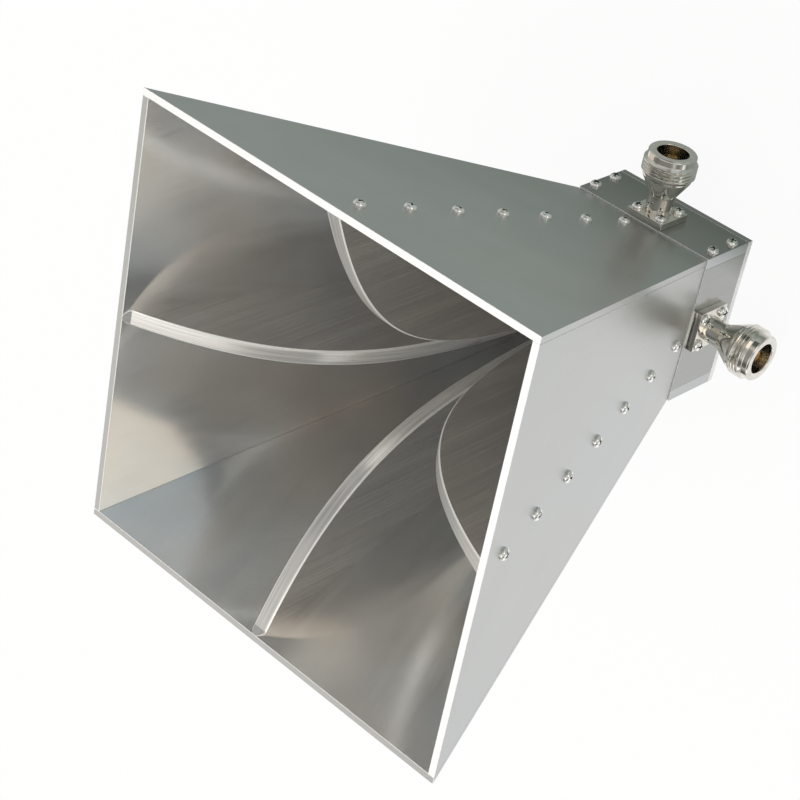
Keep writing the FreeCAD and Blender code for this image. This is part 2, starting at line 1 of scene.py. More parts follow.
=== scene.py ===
"""Looks of a quad-ridged horn antenna: sheet flare, milled ridges, feed box, two coaxial sockets.

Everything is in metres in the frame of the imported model. The horn stands on its back plate and
looks up along +Z. One socket is on the +Y side of the feed box, the other on its +X side.
"""
from __future__ import annotations

import logging
import math
from collections.abc import Callable
from dataclasses import dataclass, field
from enum import Enum, IntEnum

import bmesh
import bpy
import numpy as np
from mathutils import Matrix, Vector

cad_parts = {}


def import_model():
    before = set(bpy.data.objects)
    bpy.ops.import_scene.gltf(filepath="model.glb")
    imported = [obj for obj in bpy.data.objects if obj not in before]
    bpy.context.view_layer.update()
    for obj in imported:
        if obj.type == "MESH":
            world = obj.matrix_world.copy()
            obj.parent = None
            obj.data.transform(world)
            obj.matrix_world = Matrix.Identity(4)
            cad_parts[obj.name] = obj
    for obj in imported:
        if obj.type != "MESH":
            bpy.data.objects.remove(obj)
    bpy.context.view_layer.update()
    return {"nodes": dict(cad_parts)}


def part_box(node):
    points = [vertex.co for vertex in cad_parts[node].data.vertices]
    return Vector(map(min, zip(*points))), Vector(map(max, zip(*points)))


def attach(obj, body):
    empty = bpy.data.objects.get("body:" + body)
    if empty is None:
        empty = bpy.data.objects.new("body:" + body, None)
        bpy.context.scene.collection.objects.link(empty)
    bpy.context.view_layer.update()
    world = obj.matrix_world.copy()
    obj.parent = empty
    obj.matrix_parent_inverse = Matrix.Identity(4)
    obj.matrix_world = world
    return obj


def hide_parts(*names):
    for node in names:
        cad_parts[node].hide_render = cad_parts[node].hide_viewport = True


LOG = logging.getLogger("horn_antenna")
MM = 0.001
BODY = "root"
# Points nearer than this are one point
MERGE_DISTANCE = 0.0005 * MM
# Decimals of a metre to which the lines of a block's tiling agree
PLACE_DIGITS = 9
FULL_TURN = 2 * math.pi
QUARTER_TURN = math.pi / 2
# UV map that holds metres across and along a piece
PATTERN_MAP = "pattern"
# Degrees above which an edge stays crisp: on sheets and plates, on ridges, on screws
FLAT_FACES, RIDGE_FACES, SCREW_FACES = 10.0, 20.0, 32.0
WHITE = (1.0, 1.0, 1.0)
# Shoulder of a pan head, as shares of its radius and height
PAN_SHOULDER = ((0.62, 0.9), (0.87, 0.66), (1.0, 0.3), (1.0, 0.0))
# Rings of a countersunk head's face, as shares of its radius
FLAT_FACE = (0.6, 0.97)

Triple = tuple[float, float, float]
Material = bpy.types.Material
Output = bpy.types.NodeSocket


class Side(Enum):
    """A side of the horn, with the turn about Z that carries a +Y piece there."""

    TOP = 0.0
    RIGHT = -90.0
    BOTTOM = 180.0
    LEFT = 90.0

    @property
    def label(self) -> str:
        """The side's name in the names of pieces."""
        return self.name.lower()

    def turn(self, points: np.ndarray) -> np.ndarray:
        """Carry points drawn on the +Y side to this side.

        Args:
            points: Rows of x, y, z.

        Returns:
            The turned points, in the same order.
        """
        angle = math.radians(self.value)
        cosine, sine = math.cos(angle), math.sin(angle)
        spin = np.array([[cosine, -sine, 0.0], [sine, cosine, 0.0], [0.0, 0.0, 1.0]])
        return points @ spin.T


class Slot(Enum):
    """Finish slots of the record."""

    SHEET = "sheet_aluminium"
    RIDGE = "ridge_aluminium"
    PLATE = "plate_aluminium"
    NICKEL = "socket_nickel"
    GILT = "gilt_contact"
    INSULATOR = "white_insulator"
    STEEL = "screw_steel"


class WallFace(IntEnum):
    """Material numbers on a wall of the flare."""

    OUTER = 0
    INNER = 1
    RIM = 2
    RIM_EDGE = 3


class RidgeFace(IntEnum):
    """Material numbers on a ridge."""

    FLANK = 0
    BEVEL = 1
    EDGE = 2


class PlateFace(IntEnum):
    """Material numbers on a plate of the feed box."""

    BROAD = 0
    # Ground ends and edges, painted bright as a highlight
    GROUND_AND_HIGHLIGHT = 1
    END = 2


class Shell:
    """Surfaces of one piece, gathered patch by patch and then closed along their seams."""

    def __init__(self) -> None:
        """Start with no surface."""
        self._points: list[np.ndarray] = []
        self._pattern: list[np.ndarray] = []
        self._faces: list[np.ndarray] = []
        self._finish: list[np.ndarray] = []
        self._count = 0

    def grid(self, points: np.ndarray, finish: int | np.ndarray = 0,
             pattern: np.ndarray | None = None, keep: np.ndarray | None = None) -> None:
        """Add a patch whose points are a function of two parameters.

        Args:
            points: Array of rows, columns and x, y, z.
            finish: Number of the piece's material, or a number for each cell.
            pattern: Across and along of each point, in metres; x and z where it is left out.
            keep: True for each cell that gets a face; all of them where it is left out.
        """
        rows, columns = points.shape[:2]
        corner = np.arange(rows * columns).reshape(rows, columns)
        cells = np.stack([corner[:-1, :-1], corner[:-1, 1:], corner[1:, 1:], corner[1:, :-1]], -1)
        wanted = np.ones(cells.shape[:2], bool) if keep is None else keep
        chosen = cells[wanted]
        flat = points.reshape(-1, 3)
        self._faces.append(chosen + self._count)
        self._finish.append(np.broadcast_to(finish, wanted.shape)[wanted])
        self._points.append(flat)
        self._pattern.append(flat[:, [0, 2]] if pattern is None else pattern.reshape(-1, 2))
        self._count += len(flat)

    def place(self, move: Callable[[np.ndarray], np.ndarray]) -> None:
        """Move every point so far by a function of all the points.

        Args:
            move: Takes and returns rows of x, y, z.
        """
        self._points = [move(points) for points in self._points]

    def build(self, name: str, finishes: list[Material], slot: Slot,
              replaces: list[str], sharp: float = 28.0) -> bpy.types.Object:
        """Close the seams, turn the faces outwards and hand the piece to the frame.

        Args:
            name: Name of the piece.
            finishes: Its materials, in the order of the patches' finish numbers.
            slot: The record's finish slot; not used.
            replaces: CAD nodes that the piece stands for.
            sharp: Angle in degrees above which an edge stays crisp.

        Returns:
            The finished object, at the origin.
        """
        mesh = bpy.data.meshes.new(name)
        points = np.concatenate(self._points)
        faces = np.concatenate(self._faces)
        mesh.vertices.add(len(points))
        mesh.vertices.foreach_set("co", points.ravel().astype(np.float32))
        mesh.loops.add(faces.size)
        mesh.loops.foreach_set("vertex_index", faces.ravel().astype(np.int32))
        mesh.polygons.add(len(faces))
        mesh.polygons.foreach_set("loop_start", np.arange(0, faces.size, 4, dtype=np.int32))
        mesh.update(calc_edges=True)
        mesh.polygons.foreach_set("material_index", np.concatenate(self._finish).astype(np.int32))
        pattern = np.concatenate(self._pattern)[faces.ravel()]
        layer = mesh.uv_layers.new(name=PATTERN_MAP)
        layer.data.foreach_set("uv", pattern.ravel().astype(np.float32))
        work = bmesh.new()
        work.from_mesh(mesh)
        bmesh.ops.remove_doubles(work, verts=work.verts, dist=MERGE_DISTANCE)
        bmesh.ops.dissolve_degenerate(work, edges=work.edges, dist=MERGE_DISTANCE)
        bmesh.ops.recalc_face_normals(work, faces=work.faces)
        work.to_mesh(mesh)
        work.free()
        for finish in finishes:
            mesh.materials.append(finish)
        mesh.polygons.foreach_set("use_smooth", np.ones(len(mesh.polygons), bool))
        mesh.set_sharp_from_angle(angle=math.radians(sharp))
        piece = bpy.data.objects.new(name, mesh)
        bpy.context.scene.collection.objects.link(piece)
        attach(piece, BODY)
        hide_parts(*replaces)
        LOG.info("%s: %d faces", name, len(mesh.polygons))
        return piece


def lift(plan: np.ndarray, height: float | np.ndarray) -> np.ndarray:
    """Points of a flat patch: its x and y, and one height or a height for each point.

    Args:
        plan: Array of rows, columns and x, y.
        height: The height, in metres.

    Returns:
        Array of rows, columns and x, y, z.
    """
    level = np.broadcast_to(height, plan.shape[:2])
    return np.dstack([plan, level])


def softened(corners: list[tuple[float, float]], radius: float, most: float = 0.45,
             steps: int = 3) -> np.ndarray:
    """A profile whose inner corners are rounded by arcs tangent to both runs.

    An arc's points are a quadratic curve with the corner as its middle control point.

    Args:
        corners: Profile corners, ends included.
        radius: Reach of an arc along its runs.
        most: Largest share of a run that an arc may take.
        steps: Pieces that each arc is divided into.

    Returns:
        Rows of the two coordinates.
    """
    points = np.array(corners, float)
    path = [points[0]]
    share = np.linspace(0.0, 1.0, steps + 1)[:, None]
    for before, corner, after in zip(points, points[1:], points[2:]):
        back, ahead = before - corner, after - corner
        reach = min(radius, most * np.linalg.norm(back), most * np.linalg.norm(ahead))
        start = corner + back / np.linalg.norm(back) * reach
        end = corner + ahead / np.linalg.norm(ahead) * reach
        path.extend((1 - share) ** 2 * start + 2 * share * (1 - share) * corner + share ** 2 * end)
    path.append(points[-1])
    return np.array(path)


def revolve(shell: Shell, profile: np.ndarray, columns: int) -> None:
    """Turn a profile of radius and height about Z: x = r cos a, y = r sin a, z = height.

    Args:
        shell: Gets the surface.
        profile: Rows of radius and height.
        columns: Steps round the turn.
    """
    angle = np.linspace(0.0, FULL_TURN, columns + 1)
    radius, height = profile[:, :1], profile[:, 1:]
    points = np.dstack([radius * np.cos(angle), radius * np.sin(angle), height + 0 * angle])
    pattern = np.dstack([angle * radius.max() + 0 * radius, height + 0 * angle])
    shell.grid(points, 0, pattern)


def rectangle(across: np.ndarray, along: np.ndarray) -> list[np.ndarray]:
    """The four sides of a rectangle in turn: low y, high x, high y and low x.

    Args:
        across: Places along x, rising.
        along: Places along y, rising.

    Returns:
        Rows of x and y for each side, its two ends included.
    """
    sides = ((across, 0 * across + along[0]), (0 * along + across[-1], along),
             (across[::-1], 0 * across + along[-1]), (0 * along + across[0], along[::-1]))
    return [np.stack(side, -1) for side in sides]


@dataclass(frozen=True)
class Hole:
    """A round hole from a block's low face.

    Levels are pairs of radius and height above that face, from the hole's mouth inwards.
    """

    x: float
    y: float
    levels: tuple[tuple[float, float], ...]


@dataclass(frozen=True)
class Block:
    """A rectangular block with rounded edges and round holes from its low face.

    The faces are tiled by lines that run round each hole's square. Between the square and the
    hole the patch blends from one to the other.
    """

    low: tuple[float, float, float]
    high: tuple[float, float, float]
    edge: float
    holes: tuple[Hole, ...] = ()
    reach: float = 2.0 * MM
    hole_steps: int = 10
    edge_steps: int = 3

    def _span(self, centre: float) -> np.ndarray:
        """Places of the lines across a hole's square, along one axis."""
        return np.round(np.linspace(centre - self.reach, centre + self.reach,
                                    self.hole_steps + 1), PLACE_DIGITS)

    def _lines(self, axis: int) -> np.ndarray:
        """Places of the tiling's lines along an axis.

        Args:
            axis: 0 for x, 1 for y.

        Returns:
            The places, rising.
        """
        ends = np.round([self.low[axis] + self.edge, self.high[axis] - self.edge], PLACE_DIGITS)
        centres = {(hole.x, hole.y)[axis] for hole in self.holes}
        return np.unique(np.concatenate([ends, *map(self._span, sorted(centres))]))

    def _pierce(self, shell: Shell, hole: Hole, finish: int) -> bool:
        """Add a hole's rings, from its square to the hole's end.

        Args:
            shell: Gets the surface.
            hole: The hole.
            finish: Material number of the rings.

        Returns:
            Whether the hole comes out of the high face.
        """
        height = self.high[2] - self.low[2]
        centre = np.array([hole.x, hole.y])
        square = np.concatenate([side[:-1] for side in rectangle(*map(self._span, centre))])
        square = np.concatenate([square, square[:1]])
        away = square - centre
        away /= np.linalg.norm(away, axis=1)[:, None]
        rings = [centre + away * radius for radius, _ in hole.levels]
        depths = [self.low[2] + depth for _, depth in hole.levels]
        through = hole.levels[-1][1] >= height
        plans = [square, *rings] + ([square] if through else [centre + 0 * away])
        levels = [self.low[2], *depths] + ([self.high[2]] if through else [depths[-1]])
        points = np.stack([np.column_stack([plan, np.full(len(plan), level)])
                           for plan, level in zip(plans, levels)])
        shell.grid(points, finish, points[:, :, :2])
        return through

    def add(self, shell: Shell, finish: int = 0, end_finish: int | None = None,
            edge_finish: int | None = None, sides: tuple[int, int, int, int] | None = None) -> None:
        """Add the block's faces, holes and rounded edges to a shell.

        Args:
            shell: Gets the surface.
            finish: Material number of the low face, and of the sides where they aren't given.
            end_finish: Material number of the high face, where it differs.
            edge_finish: Material number of the high face's rounded edge, where it differs.
            sides: Material numbers of the -Y, +X, +Y and -X sides.
        """
        across, along = self._lines(0), self._lines(1)
        plan = np.dstack(np.meshgrid(across, along))
        middle = (plan[:-1, :-1] + plan[1:, 1:]) / 2
        solid = {True: np.ones(middle.shape[:2], bool), False: np.ones(middle.shape[:2], bool)}
        for hole in self.holes:
            inside = np.all(np.abs(middle - [hole.x, hole.y]) < self.reach, axis=-1)
            through = self._pierce(shell, hole, finish)
            solid[False] &= ~inside
            if through:
                solid[True] &= ~inside
        top_finish = finish if end_finish is None else end_finish
        shell.grid(lift(plan, self.low[2]), finish, plan, solid[False])
        shell.grid(lift(plan, self.high[2]), top_finish, plan, solid[True])
        self._edges(shell, across, along, sides or (finish,) * 4, edge_finish)

    def _edges(self, shell: Shell, across: np.ndarray, along: np.ndarray,
               finishes: tuple[int, int, int, int], edge_finish: int | None) -> None:
        """Add the sides and their rounded edges.

        Rows run up the side: out by r sin a and up by r (1 - cos a) at the low edge, and the same
        mirrored at the high one. Columns run round the plan and turn the corners in steps.

        Args:
            shell: Gets the surface.
            across: Places of the tiling's lines along x.
            along: Places of the tiling's lines along y.
            finishes: Material numbers of the -Y, +X, +Y and -X sides.
            edge_finish: Material number of the high face's rounded edge, where it differs.
        """
        quarter = np.linspace(0.0, QUARTER_TURN, self.edge_steps + 1)
        plan, outward, columns = [], [], []
        for number, points in enumerate(rectangle(across, along)):
            facing = (number - 1) * QUARTER_TURN
            plan += [points, np.repeat(points[-1:], self.edge_steps + 1, axis=0)]
            turns = np.concatenate([np.full(len(points), facing), facing + quarter])
            outward.append(np.stack([np.cos(turns), np.sin(turns)], -1))
            columns += [finishes[number]] * len(turns)
        plan_loop = np.concatenate(plan + [plan[0][:1]])
        outward_loop = np.concatenate(outward + [outward[0][:1]])
        rows = []
        for base, up, turns in ((self.low[2], 1, quarter), (self.high[2], -1, quarter[::-1])):
            for turn in turns:
                flat = plan_loop + outward_loop * self.edge * math.sin(turn)
                level = base + up * self.edge * (1 - math.cos(turn))
                rows.append(np.column_stack([flat, np.full(len(flat), level)]))
        points = np.stack(rows)
        finish = np.tile(columns, (len(rows) - 1, 1))
        if edge_finish is not None:
            finish[-self.edge_steps:] = edge_finish
        shell.grid(points, finish, np.dstack([points[:, :, 0] + points[:, :, 1], points[:, :, 2]]))


class Tree:
    """Short way to write a node tree."""

    def __init__(self, tree: bpy.types.NodeTree) -> None:
        """Take the tree that the nodes go into."""
        self.tree = tree

    def add(self, kind: str, inputs: dict | None = None, **settings: object) -> bpy.types.Node:
        """Add a node; an input's value is a number, a tuple or another node's output.

        Args:
            kind: The node's type.
            inputs: Values or outputs by the input's name or number.
            settings: Properties of the node.

        Returns:
            The new node.
        """
        node = self.tree.nodes.new(kind)
        for key, value in settings.items():
            setattr(node, key, value)
        for key, value in (inputs or {}).items():
            self.put(node.inputs[key], value)
        return node

    def put(self, socket: Output, value: object) -> None:
        """Set an input's value, or link it to an output.

        Args:
            socket: The input.
            value: A number, a tuple or another node's output.
        """
        if isinstance(value, Output):
            self.tree.links.new(value, socket)
        else:
            socket.default_value = value

    def math(self, operation: str, *values: object) -> Output:
        """Output of a Math node on numbers or outputs."""
        return self.add("ShaderNodeMath", dict(enumerate(values)), operation=operation).outputs[0]

    def blend(self, share: object, low: object, high: object, kind: str = "MIX") -> Output:
        """Triple between two colours, or another blend of them."""
        return self.add("ShaderNodeMix", {0: share, 6: low, 7: high}, data_type="RGBA",
                        blend_type=kind).outputs[2]

    def dot(self, direction: Output, towards: Triple) -> Output:
        """How far a direction leans towards another one."""
        return self.add("ShaderNodeVectorMath", {0: direction, 1: towards},
                        operation="DOT_PRODUCT").outputs["Value"]

    def ramp(self, value: object, stops: tuple[tuple[float, Triple], ...]) -> Output:
        """Triple read from a value by a ramp.

        Args:
            value: The value.
            stops: Places on the ramp and their colours.

        Returns:
            The colour.
        """
        node = self.add("ShaderNodeValToRGB", {"Fac": value})
        elements = node.color_ramp.elements
        while len(elements) < len(stops):
            elements.new(1.0)
        for element, (place, colour) in zip(elements, stops):
            element.position = place
            element.color = (*colour, 1.0)
        return node.outputs["Color"]

    def spread(self, value: object, low: float = 0.0, high: float = 1.0, start: float = 0.3,
               end: float = 0.7) -> Output:
        """Carry a noise value, which mostly lies between 0.3 and 0.7, to a range."""
        return self.add("ShaderNodeMapRange", {0: value, 1: start, 2: end, 3: low,
                                               4: high}).outputs[0]


class Nodes(Tree):
    """Short way to write a material."""

    def __init__(self, name: str) -> None:
        """Make an empty material.

        Args:
            name: The material's name.
        """
        self.material = bpy.data.materials.new(name)
        self.material.use_nodes = True
        super().__init__(self.material.node_tree)
        self.shader = self.tree.nodes["Principled BSDF"]

    def shows(self, shader: Output) -> Material:
        """Put another shader in the place of the usual one.

        Args:
            shader: The other shader.

        Returns:
            The material.
        """
        self.tree.nodes.remove(self.shader)
        self.put(self.tree.nodes["Material Output"].inputs["Surface"], shader)
        return self.material

    def _noise(self, where: Output, seed: float, scale: float, detail: float,
               stretch: Triple = (1.0, 1.0, 1.0)) -> Output:
        """Noise over some coordinates, shifted by its seed and stretched.

        Args:
            where: The coordinates.
            seed: Shift of the noise, so that two layers differ.
            scale: Features per metre.
            detail: Octaves of the noise.
            stretch: Factors on the coordinates.

        Returns:
            The noise's value, about 0.5 on average.
        """
        moved = self.add("ShaderNodeMapping", {0: where, "Scale": stretch,
                                               "Location": (seed, seed, seed)}).outputs[0]
        return self.add("ShaderNodeTexNoise", {"Vector": moved, "Scale": scale,
                                               "Detail": detail}).outputs["Fac"]

    def pattern(self, across: float, along: float, detail: float = 2.0,
                seed: float = 0.0) -> Output:
        """Noise stretched over the piece's own pattern map.

        Args:
            across: Features per metre across the piece.
            along: Features per metre along it.
            detail: Octaves of the noise.
            seed: Shift of the noise, so that two layers differ.

        Returns:
            The noise's value, about 0.5 on average.
        """
        where = self.add("ShaderNodeUVMap", uv_map=PATTERN_MAP).outputs[0]
        return self._noise(where, seed, 1.0, detail, (across, along, 1.0))

    def cloud(self, scale: float, detail: float = 3.0, seed: float = 0.0) -> Output:
        """Even noise in the piece's own coordinates, with so many features per metre."""
        where = self.add("ShaderNodeTexCoord").outputs["Object"]
        return self._noise(where, seed, scale, detail)

    def bump(self, height: Output, depth: float, under: Output | None = None) -> Output:
        """Normal bent by a height of so many metres, over another bend if one is given."""
        inputs = {"Height": height, "Distance": depth} | ({"Normal": under} if under else {})
        return self.add("ShaderNodeBump", inputs).outputs[0]

    def dress(self, colour: Output, roughness: Output, normal: Output, metal: float) -> Material:
        """Give the shader its inputs.

        Args:
            colour: Base colour.
            roughness: Roughness.
            normal: Bent normal.
            metal: How metallic the surface is.

        Returns:
            The material.
        """
        inputs = self.shader.inputs
        self.put(inputs["Base Color"], colour)
        self.put(inputs["Roughness"], roughness)
        self.put(inputs["Normal"], normal)
        inputs["Metallic"].default_value = metal
        return self.material


def toned(colour: Triple, factor: float = 1.0) -> tuple[float, ...]:
    """A colour made lighter or darker, with its alpha."""
    return (*(min(1.0, value * factor) for value in colour), 1.0)


@dataclass(frozen=True)
class BrushedMetal:
    """Aluminium with a fine grain along the piece, faint clouds, casts of colour and waviness.

    Grain lines, clouds, casts and waves are counted per metre. Warm and cool casts take their
    share of the green away too.
    """

    name: str
    colour: Triple
    roughness: float
    metal: float = 1.0
    grain: float = 0.02
    clouds: float = 0.05
    cast: float = 0.02
    anisotropy: float = 0.45
    grain_across: float = 4200.0
    grain_along: float = 70.0
    wave_depth: float = 0.008 * MM
    grain_depth: float = 0.0001 * MM
    coarser_across: float = 6.0
    coarser_along: float = 5.0
    coarse_share: float = 0.4
    cloud_count: float = 34.0
    cast_count: float = 18.0
    wave_count: float = 14.0
    uneven: float = 0.03
    warm_green: float = 0.5
    cool_green: float = 0.4

    def material(self) -> Material:
        """The finish as a material.

        Returns:
            The material.
        """
        nodes = Nodes(self.name)
        fine = nodes.pattern(self.grain_across, self.grain_along)
        coarse = nodes.pattern(self.grain_across / self.coarser_across,
                               self.grain_along / self.coarser_along, detail=1.0, seed=3.7)
        smudge = nodes.cloud(self.cloud_count)
        grain = nodes.math("ADD", nodes.math("MULTIPLY", fine, 1 - self.coarse_share),
                           nodes.math("MULTIPLY", coarse, self.coarse_share))
        tone = nodes.blend(nodes.spread(grain), toned(self.colour, 1 - self.grain),
                           toned(self.colour, 1 + self.grain))
        shade = nodes.blend(nodes.spread(smudge), toned(WHITE, 1 - self.clouds), toned(WHITE))
        warm = toned((1.0, 1 - self.warm_green * self.cast, 1 - self.cast))
        cool = toned((1 - self.cast, 1 - self.cool_green * self.cast, 1.0))
        tint = nodes.blend(nodes.spread(nodes.cloud(self.cast_count, detail=2.0, seed=5.1)), warm, cool)
        rough = nodes.math(
            "ADD", nodes.spread(smudge, self.roughness - self.uneven, self.roughness + self.uneven),
            nodes.spread(grain, -self.uneven, self.uneven))
        wave = nodes.bump(nodes.cloud(self.wave_count, detail=1.0, seed=1.3), self.wave_depth)
        tangent = nodes.add("ShaderNodeTangent", direction_type="UV_MAP", uv_map=PATTERN_MAP)
        nodes.put(nodes.shader.inputs["Tangent"], tangent.outputs[0])
        nodes.shader.inputs["Anisotropic"].default_value = self.anisotropy
        colour = nodes.blend(1.0, nodes.blend(1.0, tone, shade, "MULTIPLY"), tint, "MULTIPLY")
        return nodes.dress(colour, rough, nodes.bump(grain, self.grain_depth, wave), self.metal)


@dataclass(frozen=True)
class FrostedMetal:
    """Ground or blasted metal: bright, matt and finely speckled."""

    name: str
    colour: Triple
    roughness: float = 0.5
    speckle: float = 0.06
    grit: float = 5200.0
    grit_depth: float = 0.004 * MM
    metal: float = 0.5
    uneven: float = 0.06

    def material(self) -> Material:
        """The finish as a material.

        Returns:
            The material.
        """
        nodes = Nodes(self.name)
        grit = nodes.cloud(self.grit, detail=2.0)
        colour = nodes.blend(nodes.spread(grit), toned(self.colour, 1 - self.speckle),
                             toned(self.colour, 1 + self.speckle))
        rough = nodes.spread(grit, self.roughness - self.uneven, self.roughness + self.uneven)
        return nodes.dress(colour, rough, nodes.bump(grit, self.grit_depth), self.metal)


@dataclass(frozen=True)
class PlatedMetal:
    """Bright plating with faint turning marks and a little tarnish."""

    name: str
    colour: Triple
    roughness: float
    tarnish: Triple = (0.55, 0.5, 0.42)
    tarnish_share: float = 0.25
    stain_count: float = 420.0
    mark_count: float = 2600.0
    mark_depth: float = 0.0012 * MM
    polished: float = 0.7
    rubbed: float = 1.4

    def material(self) -> Material:
        """The finish as a material.

        Returns:
            The material.
        """
        nodes = Nodes(self.name)
        stain = nodes.spread(nodes.cloud(self.stain_count, detail=4.0), 0.0, self.tarnish_share)
        marks = nodes.cloud(self.mark_count, detail=2.0, seed=2.1)
        colour = nodes.blend(stain, toned(self.colour), toned(self.tarnish))
        rough = nodes.spread(marks, self.roughness * self.polished, self.roughness * self.rubbed)
        return nodes.dress(colour, rough, nodes.bump(marks, self.mark_depth), 1.0)


@dataclass(frozen=True)
class Fluoropolymer:
    """White waxy plastic, faintly mottled and slightly see-through."""

    name: str
    colour: Triple = (0.83, 0.82, 0.79)
    roughness: tuple[float, float] = (0.36, 0.46)
    mottle: float = 0.93
    mottle_count: float = 900.0
    glow: float = 0.15
    glow_depth: float = 0.6 * MM

    def material(self) -> Material:
        """The finish as a material.

        Returns:
            The material.
        """
        nodes = Nodes(self.name)
        mottle = nodes.cloud(self.mottle_count, detail=2.0)
        inputs = nodes.shader.inputs
        nodes.put(inputs["Base Color"], nodes.blend(
            nodes.spread(mottle), toned(self.colour, self.mottle), toned(self.colour)))
        nodes.put(inputs["Roughness"], nodes.spread(mottle, *self.roughness))
        inputs["Subsurface Weight"].default_value = self.glow
        inputs["Subsurface Scale"].default_value = self.glow_depth
        return nodes.material


def made(finish: BrushedMetal | FrostedMetal | PlatedMetal | Fluoropolymer) -> Material:
    """A field that holds the finish's material, made with the others."""
    return field(default_factory=finish.material)


@dataclass
class Finishes:
    """Every material of the horn, made once."""

    sheet: Material = made(BrushedMetal(
        "rolled_sheet", (0.54, 0.55, 0.54), 0.32, grain=0.03, clouds=0.12, anisotropy=0.4))
    # Inner faces of the sheet, lighter and warmer than its outer faces: painted light that lifts the
    # shade deep in the horn
    inside: Material = made(BrushedMetal(
        "painted_light_inner_sheet", (0.84, 0.83, 0.815), 0.13, 0.86, clouds=0.12, cast=0.1, anisotropy=0.1,
        wave_depth=0.03 * MM))
    rim: Material = made(FrostedMetal(
        "ground_rim", (0.96, 0.96, 0.96), speckle=0.14, grit=2600.0, metal=0.15))
    # Darker copy of the ground rim, for the rims of the bottom and left walls: painted shade
    painted_shade_rim: Material = made(FrostedMetal(
        "painted_shade_rim", (0.42, 0.425, 0.42), speckle=0.14, grit=2600.0))
    ridge: Material = made(BrushedMetal(
        "ridge_flank", (0.8, 0.785, 0.76), 0.18, 0.78, 0.14, anisotropy=0.2, grain_across=1400.0,
        grain_along=26.0))
    ridge_flat: Material = made(BrushedMetal(
        "ridge_flat", (0.62, 0.615, 0.6), 0.3, 0.6, 0.36))
    ridge_edge: Material = made(FrostedMetal(
        "ridge_edge", (0.84, 0.84, 0.82), 0.34, 0.08, 2600.0, 0.002 * MM))
    plate: Material = made(BrushedMetal(
        "milled_plate", (0.41, 0.415, 0.4), 0.2, grain=0.03, anisotropy=0.3))
    plate_end: Material = made(BrushedMetal(
        "plate_end", (0.54, 0.56, 0.56), 0.3, grain=0.04, anisotropy=0.3))
    # Near-white finish of the plates' ground ends and edges, partly their ground finish and partly a
    # painted highlight along the box's edges
    plate_edge_painted_highlight: Material = made(FrostedMetal(
        "plate_edge_painted_highlight", (0.92, 0.93, 0.92), 0.34, 0.05, 2600.0, 0.002 * MM))
    nickel: Material = made(PlatedMetal(
        "bright_nickel", (0.82, 0.795, 0.74), 0.05, (0.3, 0.27, 0.22), 0.3))
    bore: Material = made(PlatedMetal(
        "nickel_bore", (0.86, 0.82, 0.74), 0.12, (0.3, 0.25, 0.18), 0.4))
    gilt: Material = made(PlatedMetal("gold_plate", (0.9, 0.62, 0.24), 0.16, (0.6, 0.38, 0.14)))
    insulator: Material = made(Fluoropolymer("white_fluoropolymer"))
    steel: Material = made(PlatedMetal("bright_steel", (0.94, 0.94, 0.92), 0.1, tarnish_share=0.1))
    # Dark steel for the screws' deeper recess cells: painted shade
    recess: Material = made(PlatedMetal(
        "recess_painted_shade", (0.2, 0.2, 0.19), 0.3, (0.1, 0.1, 0.09)))


@dataclass
class Flare:
    """Four sheet walls from the throat to the aperture."""

    finishes: Finishes
    edge: float = 0.12 * MM
    aperture: float = field(init=False)
    throat: float = field(init=False)
    rim: float = field(init=False)
    low: float = field(init=False)
    high: float = field(init=False)

    def __post_init__(self) -> None:
        """Read the flare's sizes from the frame."""
        bottom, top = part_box("wall_top")
        self.aperture, self.high, self.low = top.y, top.z, bottom.z
        self.rim = top.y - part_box("wall_left")[1].y
        self.throat = bottom.y + self.rim

    @property
    def slope(self) -> float:
        """How far a wall leans out for each metre up."""
        return (self.aperture - self.throat) / (self.high - self.low)

    def lean(self, height: float | np.ndarray) -> float | np.ndarray:
        """Distance of a wall's outer face from the axis at a height."""
        return self.aperture - self.slope * (self.high - height)

    def inside(self, height: float | np.ndarray) -> float | np.ndarray:
        """Distance of a wall's inner face from the axis at a height."""
        return self.lean(height) - self.rim

    def _sheared(self, points: np.ndarray) -> np.ndarray:
        """Move points in by slope times their depth below the aperture, and to the middle too.

        Args:
            points: Rows of x, y, z.

        Returns:
            The moved points.
        """
        drop = self.slope * (self.high - points[:, 2:])
        return points - drop * np.column_stack([
            np.sign(points[:, 0]), np.ones(len(points)), np.zeros(len(points))])

    def add_wall(self, side: Side) -> None:
        """Build one wall as an upright block sheared to the flare's slope.

        Args:
            side: The wall's side of the horn.
        """
        inset = 0.0 if side in (Side.TOP, Side.BOTTOM) else self.rim
        width = self.aperture - inset
        shell = Shell()
        Block((-width, self.aperture - self.rim, self.low), (width, self.aperture, self.high),
              self.edge).add(shell, WallFace.OUTER, WallFace.RIM, WallFace.RIM_EDGE,
                             (WallFace.INNER, *[WallFace.OUTER] * 3))
        # The bottom and left walls take the darker rim copy: painted shade
        rim = self.finishes.rim if side in (Side.TOP, Side.RIGHT) else self.finishes.painted_shade_rim
        shell.place(self._sheared)
        shell.place(side.turn)
        name = f"wall_{side.label}"
        # The inner faces take the lighter inside finish: painted light
        shell.build(name, [self.finishes.sheet, self.finishes.inside, rim, self.finishes.rim],
                    Slot.SHEET, [name], FLAT_FACES)


